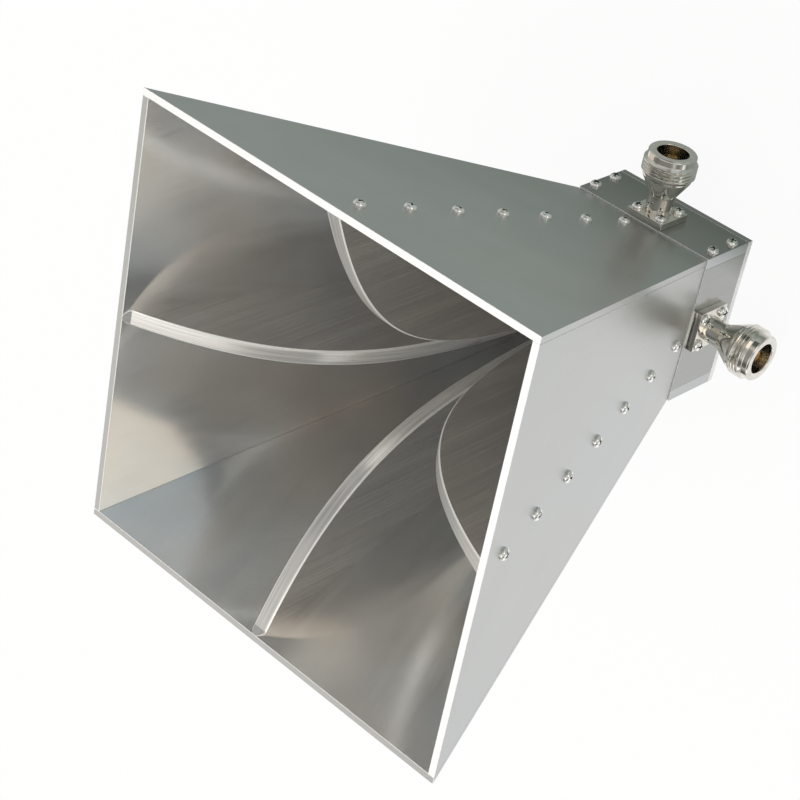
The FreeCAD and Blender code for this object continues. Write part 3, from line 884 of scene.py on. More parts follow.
@dataclass(frozen=True)
class RidgeRings:
    """A ridge's section at each ring, from the aperture to the foot.

    Half is half the thickness, and level the height. Tip and root are how far the inner edge and
    the wall are from the axis. Crown is how far the inner edge falls back at its sides.
    """

    half: np.ndarray
    level: np.ndarray
    tip: np.ndarray
    bevel: np.ndarray
    crown: np.ndarray
    root: np.ndarray

    def points(self, across: np.ndarray, away: np.ndarray) -> np.ndarray:
        """Grid of points from places across and distances from the axis."""
        return np.dstack([across + 0 * away, away + 0 * across, self.level[:, None] + 0 * away])

    def section(self, row: int, share: np.ndarray, down: np.ndarray) -> np.ndarray:
        """End face of the ridge, as columns from the inner edge to the wall.

        Args:
            row: Number of the ring.
            share: Places across the inner edge, from -1 to 1.
            down: Shares of the way to the wall.

        Returns:
            Grid of points.
        """
        half, bevel, crown = self.half[row], self.bevel[row], self.crown[row]
        across = np.concatenate([[-half], (half - bevel) * share, [half]])
        near = np.concatenate([[bevel + crown], crown * share ** 2, [bevel + crown]]) + self.tip[row]
        away = near * (1 - down[:, None]) + self.root[row] * down[:, None]
        return np.dstack([across + 0 * away, away, np.full_like(away, self.level[row])])


@dataclass
class Ridge:
    """A milled ridge: thick plate with a curved inner edge, bevelled and mitred at its tip."""

    finishes: Finishes
    flare: Flare
    half_gap: float = 1.2 * MM
    mitre_gap: float = 0.4 * MM
    nose_height: float = 0.8 * MM
    tail_width_depth: float = 1.7 * MM
    tail_start: float = 0.03
    bevel: float = 0.5 * MM
    bevel_most_high: float = 0.45
    bevel_most_wide: float = 0.6
    crown: float = 0.12 * MM
    crown_most: float = 0.1
    decay: float = 0.04 / MM
    taper: float = 0.0415
    curve_steps: int = 130
    curve_crowding: float = 1.4
    tail_steps: int = 7
    flat_columns: int = 6
    edge_columns: int = 9

    def height(self, depth: np.ndarray, start: float) -> np.ndarray:
        """Distance of the inner edge from the axis, at depths behind the aperture.

        It falls away exponentially from the nose, with a slight straight taper to the throat:
        gap + taper (length - depth) + swing exp(-decay depth).

        Args:
            depth: Depths in metres.
            start: Depth of the nose.

        Returns:
            The distances in metres.
        """
        length = self.flare.high - self.flare.low
        nose = self.flare.inside(self.flare.high - start) - self.nose_height
        straight = self.taper * (length - depth)
        swing = (nose - self.half_gap - self.taper * (length - start)) * np.exp(self.decay * start)
        return self.half_gap + straight + swing * np.exp(-self.decay * depth)

    def rings(self, side: Side) -> RidgeRings:
        """Sections of a ridge, from its tail to its foot.

        The bevel grows near the axis so that it becomes the mitre beside the next ridge. In front
        of the nose a tail runs out to a point at the aperture: its height falls straight to
        nothing there, and its half width as the square root of the depth.

        Args:
            side: The ridge's side of the horn.

        Returns:
            The sections.
        """
        low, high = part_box(f"ridge_{side.label}")
        plate_half = min(high.x - low.x, high.y - low.y) / 2
        plate_low, plate_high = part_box(f"cavity_plate_{side.label}")
        box_inside = {Side.TOP: plate_low.y, Side.RIGHT: plate_low.x,
                      Side.BOTTOM: -plate_high.y, Side.LEFT: -plate_high.x}[side]
        start = self.flare.high - high.z
        length = self.flare.high - self.flare.low
        tail = np.linspace(self.tail_start, 1.0, self.tail_steps)[:-1] * start
        share = np.linspace(0.0, 1.0, self.curve_steps) ** self.curve_crowding
        depth = np.append(tail, start + (length - start) * share)
        level = np.append(self.flare.high - depth, [self.flare.low, low.z])
        root = np.append(self.flare.inside(self.flare.high - depth), [box_inside, box_inside])
        tip = np.append(self.height(depth, start), [self.half_gap, self.half_gap])
        tip[:len(tail)] = root[:len(tail)] - self.nose_height * tail / start
        half = np.full(len(level), plate_half)
        half[:len(depth)] *= np.sqrt(np.minimum(depth / self.tail_width_depth, 1.0))
        bevel = np.maximum(self.bevel, half + self.mitre_gap - tip)
        bevel = np.minimum(np.minimum(bevel, (root - tip) * self.bevel_most_high),
                           half * self.bevel_most_wide)
        crown = np.minimum(self.crown * ((half - bevel) / plate_half) ** 2,
                           (root - tip) * self.crown_most)
        return RidgeRings(half, level, tip, bevel, crown, root)

    def add(self, side: Side) -> None:
        """Build one ridge as rings across it, stacked from the aperture to the foot.

        Each ring is two flanks, two 45 degree bevels and the inner edge, which falls back by
        crown times the square of the place across.

        Args:
            side: The ridge's side of the horn.
        """
        ring, shell = self.rings(side), Shell()
        down = np.linspace(0.0, 1.0, self.flat_columns)
        shoulder = ring.tip + ring.crown
        flank = (shoulder + ring.bevel)[:, None] * (1 - down) + ring.root[:, None] * down
        for sign in (-1.0, 1.0):
            points = ring.points(sign * ring.half[:, None], flank)
            shell.grid(points, RidgeFace.FLANK, points[:, :, [1, 2]])
        share = np.linspace(-1.0, 1.0, self.edge_columns)
        shell.grid(ring.points((ring.half - ring.bevel)[:, None] * share,
                               ring.tip[:, None] + ring.crown[:, None] * share ** 2),
                   RidgeFace.EDGE)
        for sign in (-1.0, 1.0):
            shell.grid(ring.points(sign * np.column_stack([ring.half, ring.half - ring.bevel]),
                                   np.column_stack([shoulder + ring.bevel, shoulder])),
                       RidgeFace.BEVEL)
        shell.grid(ring.points(np.column_stack([-ring.half, ring.half]),
                               np.column_stack([ring.root, ring.root])), RidgeFace.FLANK)
        shell.grid(ring.section(0, share, down), RidgeFace.BEVEL)
        shell.grid(ring.section(-1, share, down), RidgeFace.FLANK)
        shell.place(side.turn)
        name = f"ridge_{side.label}"
        shell.build(name, [self.finishes.ridge, self.finishes.ridge_edge, self.finishes.ridge_flat],
                    Slot.RIDGE, [name], RIDGE_FACES)


@dataclass
class FeedBox:
    """Four plates and a back plate behind the throat."""

    finishes: Finishes
    edge: float = 0.1 * MM
    screw_offset: float = 17.5 * MM
    mount_offset: float = 8.0 * MM
    sink_radius: float = 1.9 * MM
    shank_radius: float = 1.0 * MM
    mount_radius: float = 1.25 * MM
    mount_depth: float = 6.0 * MM
    screw_depth: float = 5.5 * MM
    side_middle: float = field(init=False)

    def __post_init__(self) -> None:
        """Find the middle of a side plate's thickness."""
        low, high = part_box("cavity_plate_right")
        self.side_middle = (low.x + high.x) / 2

    def _holes(self, centres: tuple[float, ...], screw: tuple[tuple[float, float], ...],
               mount: tuple[tuple[float, float], ...]) -> tuple[Hole, ...]:
        """A screw's and a mounting hole on both sides of some centres.

        Args:
            centres: Places of the rows of holes along x.
            screw: Levels of a screw's hole.
            mount: Levels of a mounting hole.

        Returns:
            The holes.
        """
        return tuple(Hole(centre, sign * offset, levels) for centre in centres for sign in (-1, 1)
                     for offset, levels in ((self.screw_offset, screw), (self.mount_offset, mount)))

    def add_plates(self) -> None:
        """Build the two cover plates and the two side plates.

        Their front ends and the rounded edges round them are ground, and painted bright as a highlight
        along the box's front corner; the ends of the cover plates are lighter than their faces.
        """
        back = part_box("back_plate")[1].z
        dressing = [self.finishes.plate, self.finishes.plate_edge_painted_highlight, self.finishes.plate_end]
        for side in Side:
            name = f"cavity_plate_{side.label}"
            low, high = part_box(name)
            shell = Shell()
            holes, sides = (), (PlateFace.BROAD, PlateFace.END) * 2
            if side in (Side.LEFT, Side.RIGHT):
                sides = (PlateFace.BROAD,) * 4
                holes = self._holes(
                    ((low.x + high.x) / 2,),
                    ((self.shank_radius, 0.0), (self.shank_radius, self.screw_depth - back)),
                    ((self.mount_radius, 0.0), (self.mount_radius, self.mount_depth - back)))
            Block(tuple(low), tuple(high), self.edge, holes).add(
                shell, PlateFace.BROAD, PlateFace.GROUND_AND_HIGHLIGHT, PlateFace.GROUND_AND_HIGHLIGHT, sides)
            shell.build(name, dressing, Slot.PLATE, [name], FLAT_FACES)

    def add_back_plate(self) -> None:
        """Build the back plate with its countersunk and mounting holes."""
        low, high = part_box("back_plate")
        thickness = high.z - low.z
        holes = self._holes(
            (-self.side_middle, self.side_middle),
            ((self.sink_radius, 0.0), (self.shank_radius, self.sink_radius - self.shank_radius),
             (self.shank_radius, thickness)),
            ((self.mount_radius, 0.0), (self.mount_radius, thickness)))
        shell = Shell()
        # The ±X sides and the high face's rounded edge take the bright ground finish, partly a painted
        # highlight
        Block(tuple(low), tuple(high), self.edge, holes).add(
            shell, PlateFace.BROAD, PlateFace.BROAD, PlateFace.GROUND_AND_HIGHLIGHT,
            (PlateFace.BROAD, PlateFace.GROUND_AND_HIGHLIGHT) * 2)
        shell.build("back_plate", [self.finishes.plate, self.finishes.plate_edge_painted_highlight], Slot.PLATE,
                    ["back_plate"], FLAT_FACES)


@dataclass(frozen=True)
class CrossRecess:
    """Recess of a screw head: four wings whose edges the grid's columns follow exactly.

    The floor rises by rise times the depth towards the wings' ends. Cells deeper than a share of the
    depth get a dark steel, as painted shade in the recess.
    """

    reach: float = 1.15 * MM
    width: float = 0.62 * MM
    floor_width: float = 0.42 * MM
    depth: float = 0.75 * MM
    rise: float = 0.45
    painted_shade_from: float = 0.3


@dataclass(frozen=True)
class Screw:
    """A small cross-recess screw drawn along +Z, its head's seat at the origin.

    The head's profile is a list of radius and height from the crown to the shank's end. Columns
    turn about Z and lean so that they run along the wings' edges inside the recess.
    """

    profile: tuple[tuple[float, float], ...]
    crown: float
    recess: CrossRecess = CrossRecess()
    body_columns: int = 6
    middle: float = 0.02 * MM
    core_rings: tuple[float, ...] = (0.72, 0.99, 1.01)
    wing_rings: tuple[float, ...] = (0.75, 0.96, 1.02)

    def _angles(self, radius: float) -> np.ndarray:
        """Column angles over the whole turn, leant so that they keep to the wings' edges.

        Args:
            radius: Radius of the ring.

        Returns:
            The angles, rising.
        """
        top, floor = (math.asin(min(math.sqrt(0.5), width / 2 / radius))
                      for width in (self.recess.width, self.recess.floor_width))
        body = np.linspace(top, QUARTER_TURN - top, self.body_columns)
        quarter = np.concatenate([[0.0, floor], body, [QUARTER_TURN - floor]])
        turns = (np.arange(4) * QUARTER_TURN)[:, None] + quarter[None, :]
        return np.append(turns.ravel(), FULL_TURN)

    def surface(self) -> tuple[np.ndarray, np.ndarray]:
        """The screw's surface, as rings from the crown's middle to the shank's end.

        Returns:
            Grid of points, and the material number of each cell: 1 in the deeper recess, which gets the
            dark steel of painted shade.
        """
        recess = self.recess
        inner = recess.width / math.sqrt(2)
        rings = [self.middle, *(inner * share for share in self.core_rings),
                 *(recess.reach * share for share in self.wing_rings)]
        radii, heights = zip(*self.profile)
        rows = []
        for radius in rings:
            angle = self._angles(radius)
            surface = np.interp(radius, radii[:2], heights[:2]) if radius < radii[1] else heights[1]
            column = np.arange(len(angle)) % (self.body_columns + 3)
            wing = np.isin(column, [0, 1, self.body_columns + 2])
            sunk = (wing & (radius < recess.reach)) | (radius < inner)
            floor = self.crown - recess.depth * (1 - recess.rise * radius / recess.reach)
            level = np.where(sunk, floor, surface)
            rows.append(np.column_stack([radius * np.cos(angle), radius * np.sin(angle), level]))
        rows.insert(0, rows[0] * [0.0, 0.0, 1.0])
        angle = self._angles(recess.reach)
        for radius, height in self.profile[1:]:
            rows.append(np.column_stack([radius * np.cos(angle), radius * np.sin(angle),
                                         np.full(len(angle), height)]))
        points = np.stack(rows)
        depth = self.crown - points[:, :, 2]
        low = np.maximum(depth[:-1, :-1], depth[1:, 1:])
        # Deeper recess cells take the dark steel: painted shade
        finish = (low > recess.painted_shade_from * recess.depth).astype(int)
        finish[len(rings):] = 0
        return points, finish


def pan_head(length: float, radius: float = 1.8 * MM, height: float = 1.45 * MM,
             shank: float = 1.0 * MM, rounding: float = 0.4 * MM) -> Screw:
    """A pan-head screw: crowned top, rounded shoulder, straight rim and shank.

    Args:
        length: Shank length in metres.
        radius: Head radius.
        height: Head height.
        shank: Shank radius.
        rounding: Reach of the shoulder's arcs.

    Returns:
        The screw.
    """
    edge = softened([(radius * across, height * up) for across, up in PAN_SHOULDER], rounding)
    profile = [(0.0, height), *map(tuple, edge), (shank, 0.0), (shank, -length), (0.0, -length)]
    return Screw(tuple(profile), height)


def flat_head(length: float, radius: float = 1.9 * MM, shank: float = 1.0 * MM,
              edge: float = 0.03 * MM, sink: float = 0.5 * MM) -> Screw:
    """A countersunk screw: flat face, 45 degree cone and shank.

    Args:
        length: Overall length in metres.
        radius: Head radius.
        shank: Shank radius.
        edge: Depth of the broken edge round the face.
        sink: Depth of the recess.

    Returns:
        The screw.
    """
    profile = [(0.0, 0.0), *((radius * share, 0.0) for share in FLAT_FACE), (radius, -edge),
               (shank, shank - radius), (shank, -length), (0.0, -length)]
    return Screw(tuple(profile), 0.0, CrossRecess(depth=sink))


def towards(point: np.ndarray, outward: np.ndarray, spin: float) -> Matrix:
    """Place that stands +Z on a direction, turned about it.

    Args:
        point: Where the origin goes.
        outward: Where +Z points.
        spin: Turn about +Z in radians.

    Returns:
        The place as a matrix.
    """
    stand = Vector(outward).to_track_quat("Z", "Y").to_matrix().to_4x4()
    return Matrix.Translation(Vector(point)) @ stand @ Matrix.Rotation(spin, 4, "Z")


@dataclass
class Screws:
    """Every group of screws on the horn."""

    finishes: Finishes
    flare: Flare
    box: FeedBox
    front_margin: float = 11.3 * MM
    rear_margin: float = 10.25 * MM
    per_ridge: int = 7
    ridge_length: float = 6.0 * MM
    cover_length: float = 8.0 * MM
    cover_front: float = 5.0 * MM
    cover_pitch: float = 9.3 * MM
    flange_length: float = 5.2 * MM
    flange_pitch: float = 8.64 * MM
    back_length: float = 5.0 * MM
    seed: int = 11

    def __post_init__(self) -> None:
        """Start the draw of how far each screw was turned in."""
        self._turns = np.random.default_rng(self.seed)

    def _group(self, name: str, screw: Screw, seats: list[tuple[np.ndarray, np.ndarray]]) -> None:
        """Build copies of a screw on their seats, each turned in by its own angle.

        Args:
            name: Name of the piece and of the node that it stands for.
            screw: The screw.
            seats: Point and outward direction of each seat.
        """
        grid, finish = screw.surface()
        flat = np.column_stack([grid.reshape(-1, 3), np.ones(grid.shape[0] * grid.shape[1])])
        shell = Shell()
        for point, outward in seats:
            place = np.array(towards(point, outward, self._turns.uniform(0, QUARTER_TURN)))
            shell.grid((flat @ place.T)[:, :3].reshape(grid.shape), finish)
        shell.build(name, [self.finishes.steel, self.finishes.recess], Slot.STEEL, [name],
                    SCREW_FACES)

    def add_ridge_screws(self, side: Side) -> None:
        """Build the row of screws down the middle of a wall.

        Args:
            side: The wall's side of the horn.
        """
        angle = math.atan(self.flare.slope)
        out = np.array([0.0, math.cos(angle), -math.sin(angle)])
        down = np.array([0.0, -math.sin(angle), -math.cos(angle)])
        slant = (self.flare.high - self.flare.low) / math.cos(angle)
        places = np.linspace(self.front_margin, slant - self.rear_margin, self.per_ridge)
        edge = np.array([0.0, self.flare.aperture, self.flare.high])
        seats = [(side.turn(edge + down * along), side.turn(out)) for along in places]
        self._group(f"ridge_screws_{side.label}", pan_head(self.ridge_length), seats)

    def add_cover_screws(self, side: Side) -> None:
        """Build the four screws of a cover plate.

        Args:
            side: The plate's side of the horn.
        """
        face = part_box("cavity_plate_top")[1].y
        front = self.flare.low - self.cover_front
        seats = [(side.turn(np.array([sign * self.box.side_middle, face, height])),
                  side.turn(np.array([0.0, 1.0, 0.0])))
                 for sign in (-1, 1) for height in (front, front - self.cover_pitch)]
        self._group(f"cavity_screws_{side.label}", pan_head(self.cover_length), seats)

    def add_flange_screws(self, socket: Socket) -> None:
        """Build the four screws of a socket's flange.

        Args:
            socket: The socket.
        """
        half = self.flange_pitch / 2
        seats = [(socket.place(np.array([[across, up, socket.flange_thickness]]))[0],
                  socket.place(np.array([[0.0, 0.0, 1.0]]))[0] - socket.seat)
                 for across in (-half, half) for up in (-half, half)]
        self._group(f"flange_screws_{socket.name}", pan_head(self.flange_length), seats)

    def add_back_screws(self) -> None:
        """Build the countersunk screws of the back plate."""
        across, up = self.box.side_middle, self.box.screw_offset
        seats = [(np.array([near * across, far * up, 0.0]), np.array([0.0, 0.0, -1.0]))
                 for near in (-1, 1) for far in (-1, 1)]
        self._group("back_plate_screws", flat_head(self.back_length), seats)


@dataclass
class Socket:
    """A coaxial socket drawn from its flange's seat along +Z, then stood on its side of the box."""

    name: str
    finishes: Finishes
    flange_half: float = 6.35 * MM
    flange_thickness: float = 2.2 * MM
    flange_edge: float = 0.18 * MM
    neck_radius: float = 3.95 * MM
    neck_height: float = 7.6 * MM
    cone_radius: float = 7.2 * MM
    cone_height: float = 13.3 * MM
    relief_length: float = 1.0 * MM
    thread_radius: float = 7.94 * MM
    thread_top: float = 19.2 * MM
    lip_radius: float = 7.15 * MM
    face_radius: float = 6.75 * MM
    socket_height: float = 21.3 * MM
    mouth_radius: float = 4.7 * MM
    mouth_floor: float = 12.2 * MM
    step_height: float = 10.0 * MM
    head_bore: float = 3.5 * MM
    neck_bore: float = 2.9 * MM
    pitch: float = 25.4 / 24 * MM
    thread_depth: float = 0.58 * MM
    thread_run_out: float = 0.7 * MM
    rows_per_pitch: int = 16
    columns: int = 144
    contact_radius: float = 1.52 * MM
    contact_bore: float = 0.83 * MM
    contact_bore_depth: float = 4.5 * MM
    contact_tip: float = 16.3 * MM
    slot_width: float = 0.3 * MM
    slot_depth: float = 3.6 * MM
    stem_radius: float = 0.9 * MM
    pin_radius: float = 0.45 * MM
    pin_seat_depth: float = 3.0 * MM
    ridge_half_gap: float = 1.2 * MM
    sleeve_radius: float = 1.45 * MM
    sleeve_tip: float = 4.0 * MM
    vent_radius: float = 0.45 * MM
    vent_height: float = 5.6 * MM
    vent_floor: float = 3.0 * MM
    vent_cells: int = 10
    root_round: float = 0.35 * MM
    cone_round: float = 0.4 * MM
    lip_round: float = 0.14 * MM
    lip_bevel: float = 0.4 * MM
    mouth_bevel: float = 0.25 * MM
    bore_from: float = 0.05 * MM
    run_in_share: float = 0.8
    crest_share: float = 0.12
    flank_share: float = 0.76
    flank_power: float = 1.15
    bore_reach: float = 4.4 * MM
    finger_turns: int = 8
    finger_rows: int = 9
    finger_draw: float = 0.12 * MM
    finger_shrink: tuple[float, float] = (0.12 * MM, 0.3 * MM)
    finger_tip_drop: float = 0.1 * MM
    finger_gap_share: float = 0.6
    seat: np.ndarray = field(init=False)
    box_half: float = field(init=False)

    def __post_init__(self) -> None:
        """Find the flange's seat in the frame."""
        low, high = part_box(f"connector_{self.name}_insulator")
        middle = ((low + high) / 2).z
        top = self.name == "top"
        self.box_half = low.y if top else low.x
        self.seat = np.array([0.0, low.y, middle] if top else [low.x, 0.0, middle])

    def place(self, points: np.ndarray) -> np.ndarray:
        """Stand points on the socket's side: +Z goes to +Y at the top and to +X at the side.

        Args:
            points: Rows of x, y, z.

        Returns:
            The placed points.
        """
        x, y, z = points.T
        if self.name == "top":
            return np.column_stack([x, z, -y]) + self.seat
        return np.column_stack([z, y, -x]) + self.seat

    def _finish(self, shell: Shell, part: str, slot: Slot, *finishes: Material) -> None:
        """Stand a shell on its seat and build it.

        Args:
            shell: The shell.
            part: What it is, for its name.
            slot: The record's finish slot.
            finishes: Its materials.
        """
        shell.place(self.place)
        name = f"connector_{self.name}_{part}"
        shell.build(name, list(finishes), slot, [name])

    def _barrel(self, shell: Shell) -> None:
        """Neck, cone, threaded head, lip and bores as one closed turned surface.

        In the threaded stretch the radius is the thread's outside radius less depth times a
        rounded vee of (height / pitch - turn), faded in and out over the run-outs. A window of
        the neck's cells is left open for the vent.

        Args:
            shell: Gets the surface.
        """
        relief_top = self.cone_height + self.relief_length
        thread_low = relief_top + (self.thread_radius - self.cone_radius) * self.run_in_share
        thread_high = self.thread_top - (self.thread_radius - self.lip_radius)
        window = self.vent_height + self._window_half() * np.linspace(-1, 1, self.vent_cells + 1)
        root = softened([(self.neck_bore, 0.0), (self.neck_radius, 0.0),
                         (self.neck_radius, window[0])], self.root_round)[:-1]
        neck = np.column_stack([np.full(len(window), self.neck_radius), window])
        cone = softened([(self.neck_radius, window[-1]), (self.neck_radius, self.neck_height),
                         (self.cone_radius, self.cone_height), (self.cone_radius, relief_top),
                         (self.thread_radius, thread_low)], self.cone_round)[1:]
        rows = math.ceil((thread_high - thread_low) / self.pitch * self.rows_per_pitch)
        height = np.linspace(thread_low, thread_high, rows + 1)[1:-1]
        thread = np.column_stack([np.full(len(height), self.thread_radius), height])
        above = softened([(self.thread_radius, thread_high), (self.lip_radius, self.thread_top),
                          (self.lip_radius, self.socket_height - self.lip_bevel),
                          (self.face_radius, self.socket_height),
                          (self.mouth_radius + self.mouth_bevel, self.socket_height),
                          (self.mouth_radius, self.socket_height - self.mouth_bevel),
                          (self.mouth_radius, self.mouth_floor),
                          (self.head_bore, self.mouth_floor), (self.head_bore, self.step_height),
                          (self.neck_bore, self.step_height), (self.neck_bore, 0.0)],
                         self.lip_round)
        profile = np.concatenate([root, neck, cone, thread, above])
        angle = np.linspace(0.0, FULL_TURN, self.columns + 1)
        radius, level = profile[:, :1], profile[:, 1:]
        wave = (level / self.pitch - angle / FULL_TURN) % 1.0
        vee = np.abs(2 * wave - 1)
        groove = np.clip((vee - self.crest_share) / self.flank_share, 0.0, 1.0) ** self.flank_power
        fade = np.minimum((level - thread_low) / self.thread_run_out,
                          (thread_high - level) / self.thread_run_out)
        outer = radius >= self.thread_radius - MERGE_DISTANCE
        turned = radius - self.thread_depth * groove * np.clip(fade, 0.0, 1.0) * outer
        keep = np.ones((len(profile) - 1, self.columns), bool)
        first = self.columns * 3 // 4 - self.vent_cells // 2
        keep[len(root):len(root) + self.vent_cells, first:first + self.vent_cells] = False
        finish = np.zeros(keep.shape, int)
        in_mouth = np.argmax(above[:, 0] < self.mouth_radius + self.bore_from)
        finish[len(profile) - len(above) + in_mouth:] = 1
        shell.grid(np.dstack([turned * np.cos(angle), turned * np.sin(angle), level + 0 * angle]),
                   finish, keep=keep)
        self._vent(shell, window)

    def _window_half(self) -> float:
        """Half the width of the square that the vent's cells leave open in the neck."""
        return self.vent_cells / 2 * FULL_TURN / self.columns * self.neck_radius

    def _vent(self, shell: Shell, window: np.ndarray) -> None:
        """Vent in the neck: the open square blends to a circle, which goes in to a floor.

        On the neck a point at a across and h up lies at the turn a / radius from -Y.

        Args:
            shell: Gets the surface.
            window: Heights of the open square's cells.
        """
        around = (window - self.vent_height)[:-1]
        rim = np.full(self.vent_cells, self._window_half())
        across = np.concatenate([around, rim, -around, -rim, around[:1]])
        rise = np.concatenate([-rim, around, rim, -around, -rim[:1]])
        size = np.hypot(across, rise) / self.vent_radius
        rows = []
        for side, up in ((across, rise), (across / size, rise / size)):
            turn = side / self.neck_radius - QUARTER_TURN
            rows.append(np.column_stack([self.neck_radius * np.cos(turn),
                                         self.neck_radius * np.sin(turn), self.vent_height + up]))
        for share in (1.0, 0.0):
            rows.append(np.column_stack([across / size * share,
                                         np.full(len(across), -self.vent_floor),
                                         self.vent_height + rise / size * share]))
        shell.grid(np.stack(rows))

    def add_body(self) -> None:
        """Build the flange and the barrel."""
        shell = Shell()
        corner = self.flange_half
        bore = Hole(0.0, 0.0, ((self.neck_bore, 0.0), (self.neck_bore, self.flange_thickness)))
        Block((-corner, -corner, 0.0), (corner, corner, self.flange_thickness), self.flange_edge,
              (bore,), self.bore_reach).add(shell)
        self._barrel(shell)
        self._finish(shell, "body", Slot.NICKEL, self.finishes.nickel, self.finishes.bore)

    def add_insulator(self) -> None:
        """Build the stepped plastic bush round the contact's stem."""
        shell = Shell()
        revolve(shell, softened([
            (self.stem_radius, 0.0), (self.neck_bore, 0.0), (self.neck_bore, self.step_height),
            (self.head_bore, self.step_height), (self.head_bore, self.mouth_floor),
            (self.stem_radius, self.mouth_floor), (self.stem_radius, 0.0)], 0.08 * MM), 72)
        self._finish(shell, "insulator", Slot.INSULATOR, self.finishes.insulator)

    def add_sleeve(self) -> None:
        """Build the plastic tube round the feed pin."""
        shell = Shell()
        end = self.sleeve_tip - self.box_half
        revolve(shell, softened([
            (self.pin_radius, 0.0), (self.sleeve_radius, 0.0), (self.sleeve_radius, end),
            (self.pin_radius, end), (self.pin_radius, 0.0)], 0.1 * MM), 48)
        self._finish(shell, "sleeve", Slot.INSULATOR, self.finishes.insulator)

    def add_contact(self) -> None:
        """Build the gilt contact: pin, stem and a socket of four sprung fingers."""
        shell = Shell()
        foot = self.contact_tip - self.slot_depth
        bottom = self.contact_tip - self.contact_bore_depth
        pin_end = -(self.box_half + self.ridge_half_gap + self.pin_seat_depth)
        revolve(shell, softened([
            (0.0, pin_end), (self.pin_radius, pin_end), (self.pin_radius, 0.0),
            (self.stem_radius, 0.0), (self.stem_radius, self.mouth_floor),
            (self.contact_radius, self.mouth_floor), (self.contact_radius, foot),
            (self.contact_bore, foot), (self.contact_bore, bottom), (0.0, bottom)], 0.06 * MM), 64)
        self._fingers(shell, foot)
        self._finish(shell, "contact", Slot.GILT, self.finishes.gilt)

    def _fingers(self, shell: Shell, foot: float) -> None:
        """Four sprung fingers: each a sector of the tube, drawn in slightly at its tip.

        A ring of the finger's section runs along its outside, over one slot face, back along the
        bore and over the other slot face. Rings are stacked from the foot to the rounded tip.

        Args:
            shell: Gets the surface.
            foot: Height where the fingers part.
        """
        share = np.linspace(0.0, 1.0, self.finger_turns)
        rise = np.append(np.linspace(0.0, 1.0, self.finger_rows), [1.0, 1.0])
        level = foot + (self.contact_tip - foot) * rise
        level[self.finger_rows - 1] -= self.finger_tip_drop
        close = np.append(np.zeros(self.finger_rows), self.finger_shrink)
        for number in range(4):
            rows = []
            for height, draw, shrink in zip(level, self.finger_draw * rise ** 2, close):
                outer = self.contact_radius - draw - shrink
                inner = self.contact_bore - draw + shrink
                gap = self.slot_width / 2 + shrink * self.finger_gap_share
                ring = []
                for radius, order in ((outer, share), (inner, share[::-1])):
                    edge = math.asin(gap / radius)
                    turn = number * QUARTER_TURN + edge + (QUARTER_TURN - 2 * edge) * order
                    ring.append(np.column_stack([radius * np.cos(turn), radius * np.sin(turn),
                                                 np.full(len(turn), height)]))
                loop = np.concatenate(ring)
                rows.append(np.concatenate([loop, loop[:1]]))
            shell.grid(np.stack(rows))
            for end in (rows[0], rows[-1]):
                shell.grid(np.stack([end[:len(share)], end[len(share):-1][::-1]]))


@dataclass(frozen=True)
class Patch:
    """Soft round patch of the room: where it lies, how far it reaches and its tone."""

    towards: Triple
    reach: float
    tone: Triple


@dataclass(frozen=True)
class Lamp:
    """Square soft lamp: where it hangs, its width, its watts and whether metal shows it."""

    name: str
    place: Triple
    size: float
    power: float
    mirrored: bool = True


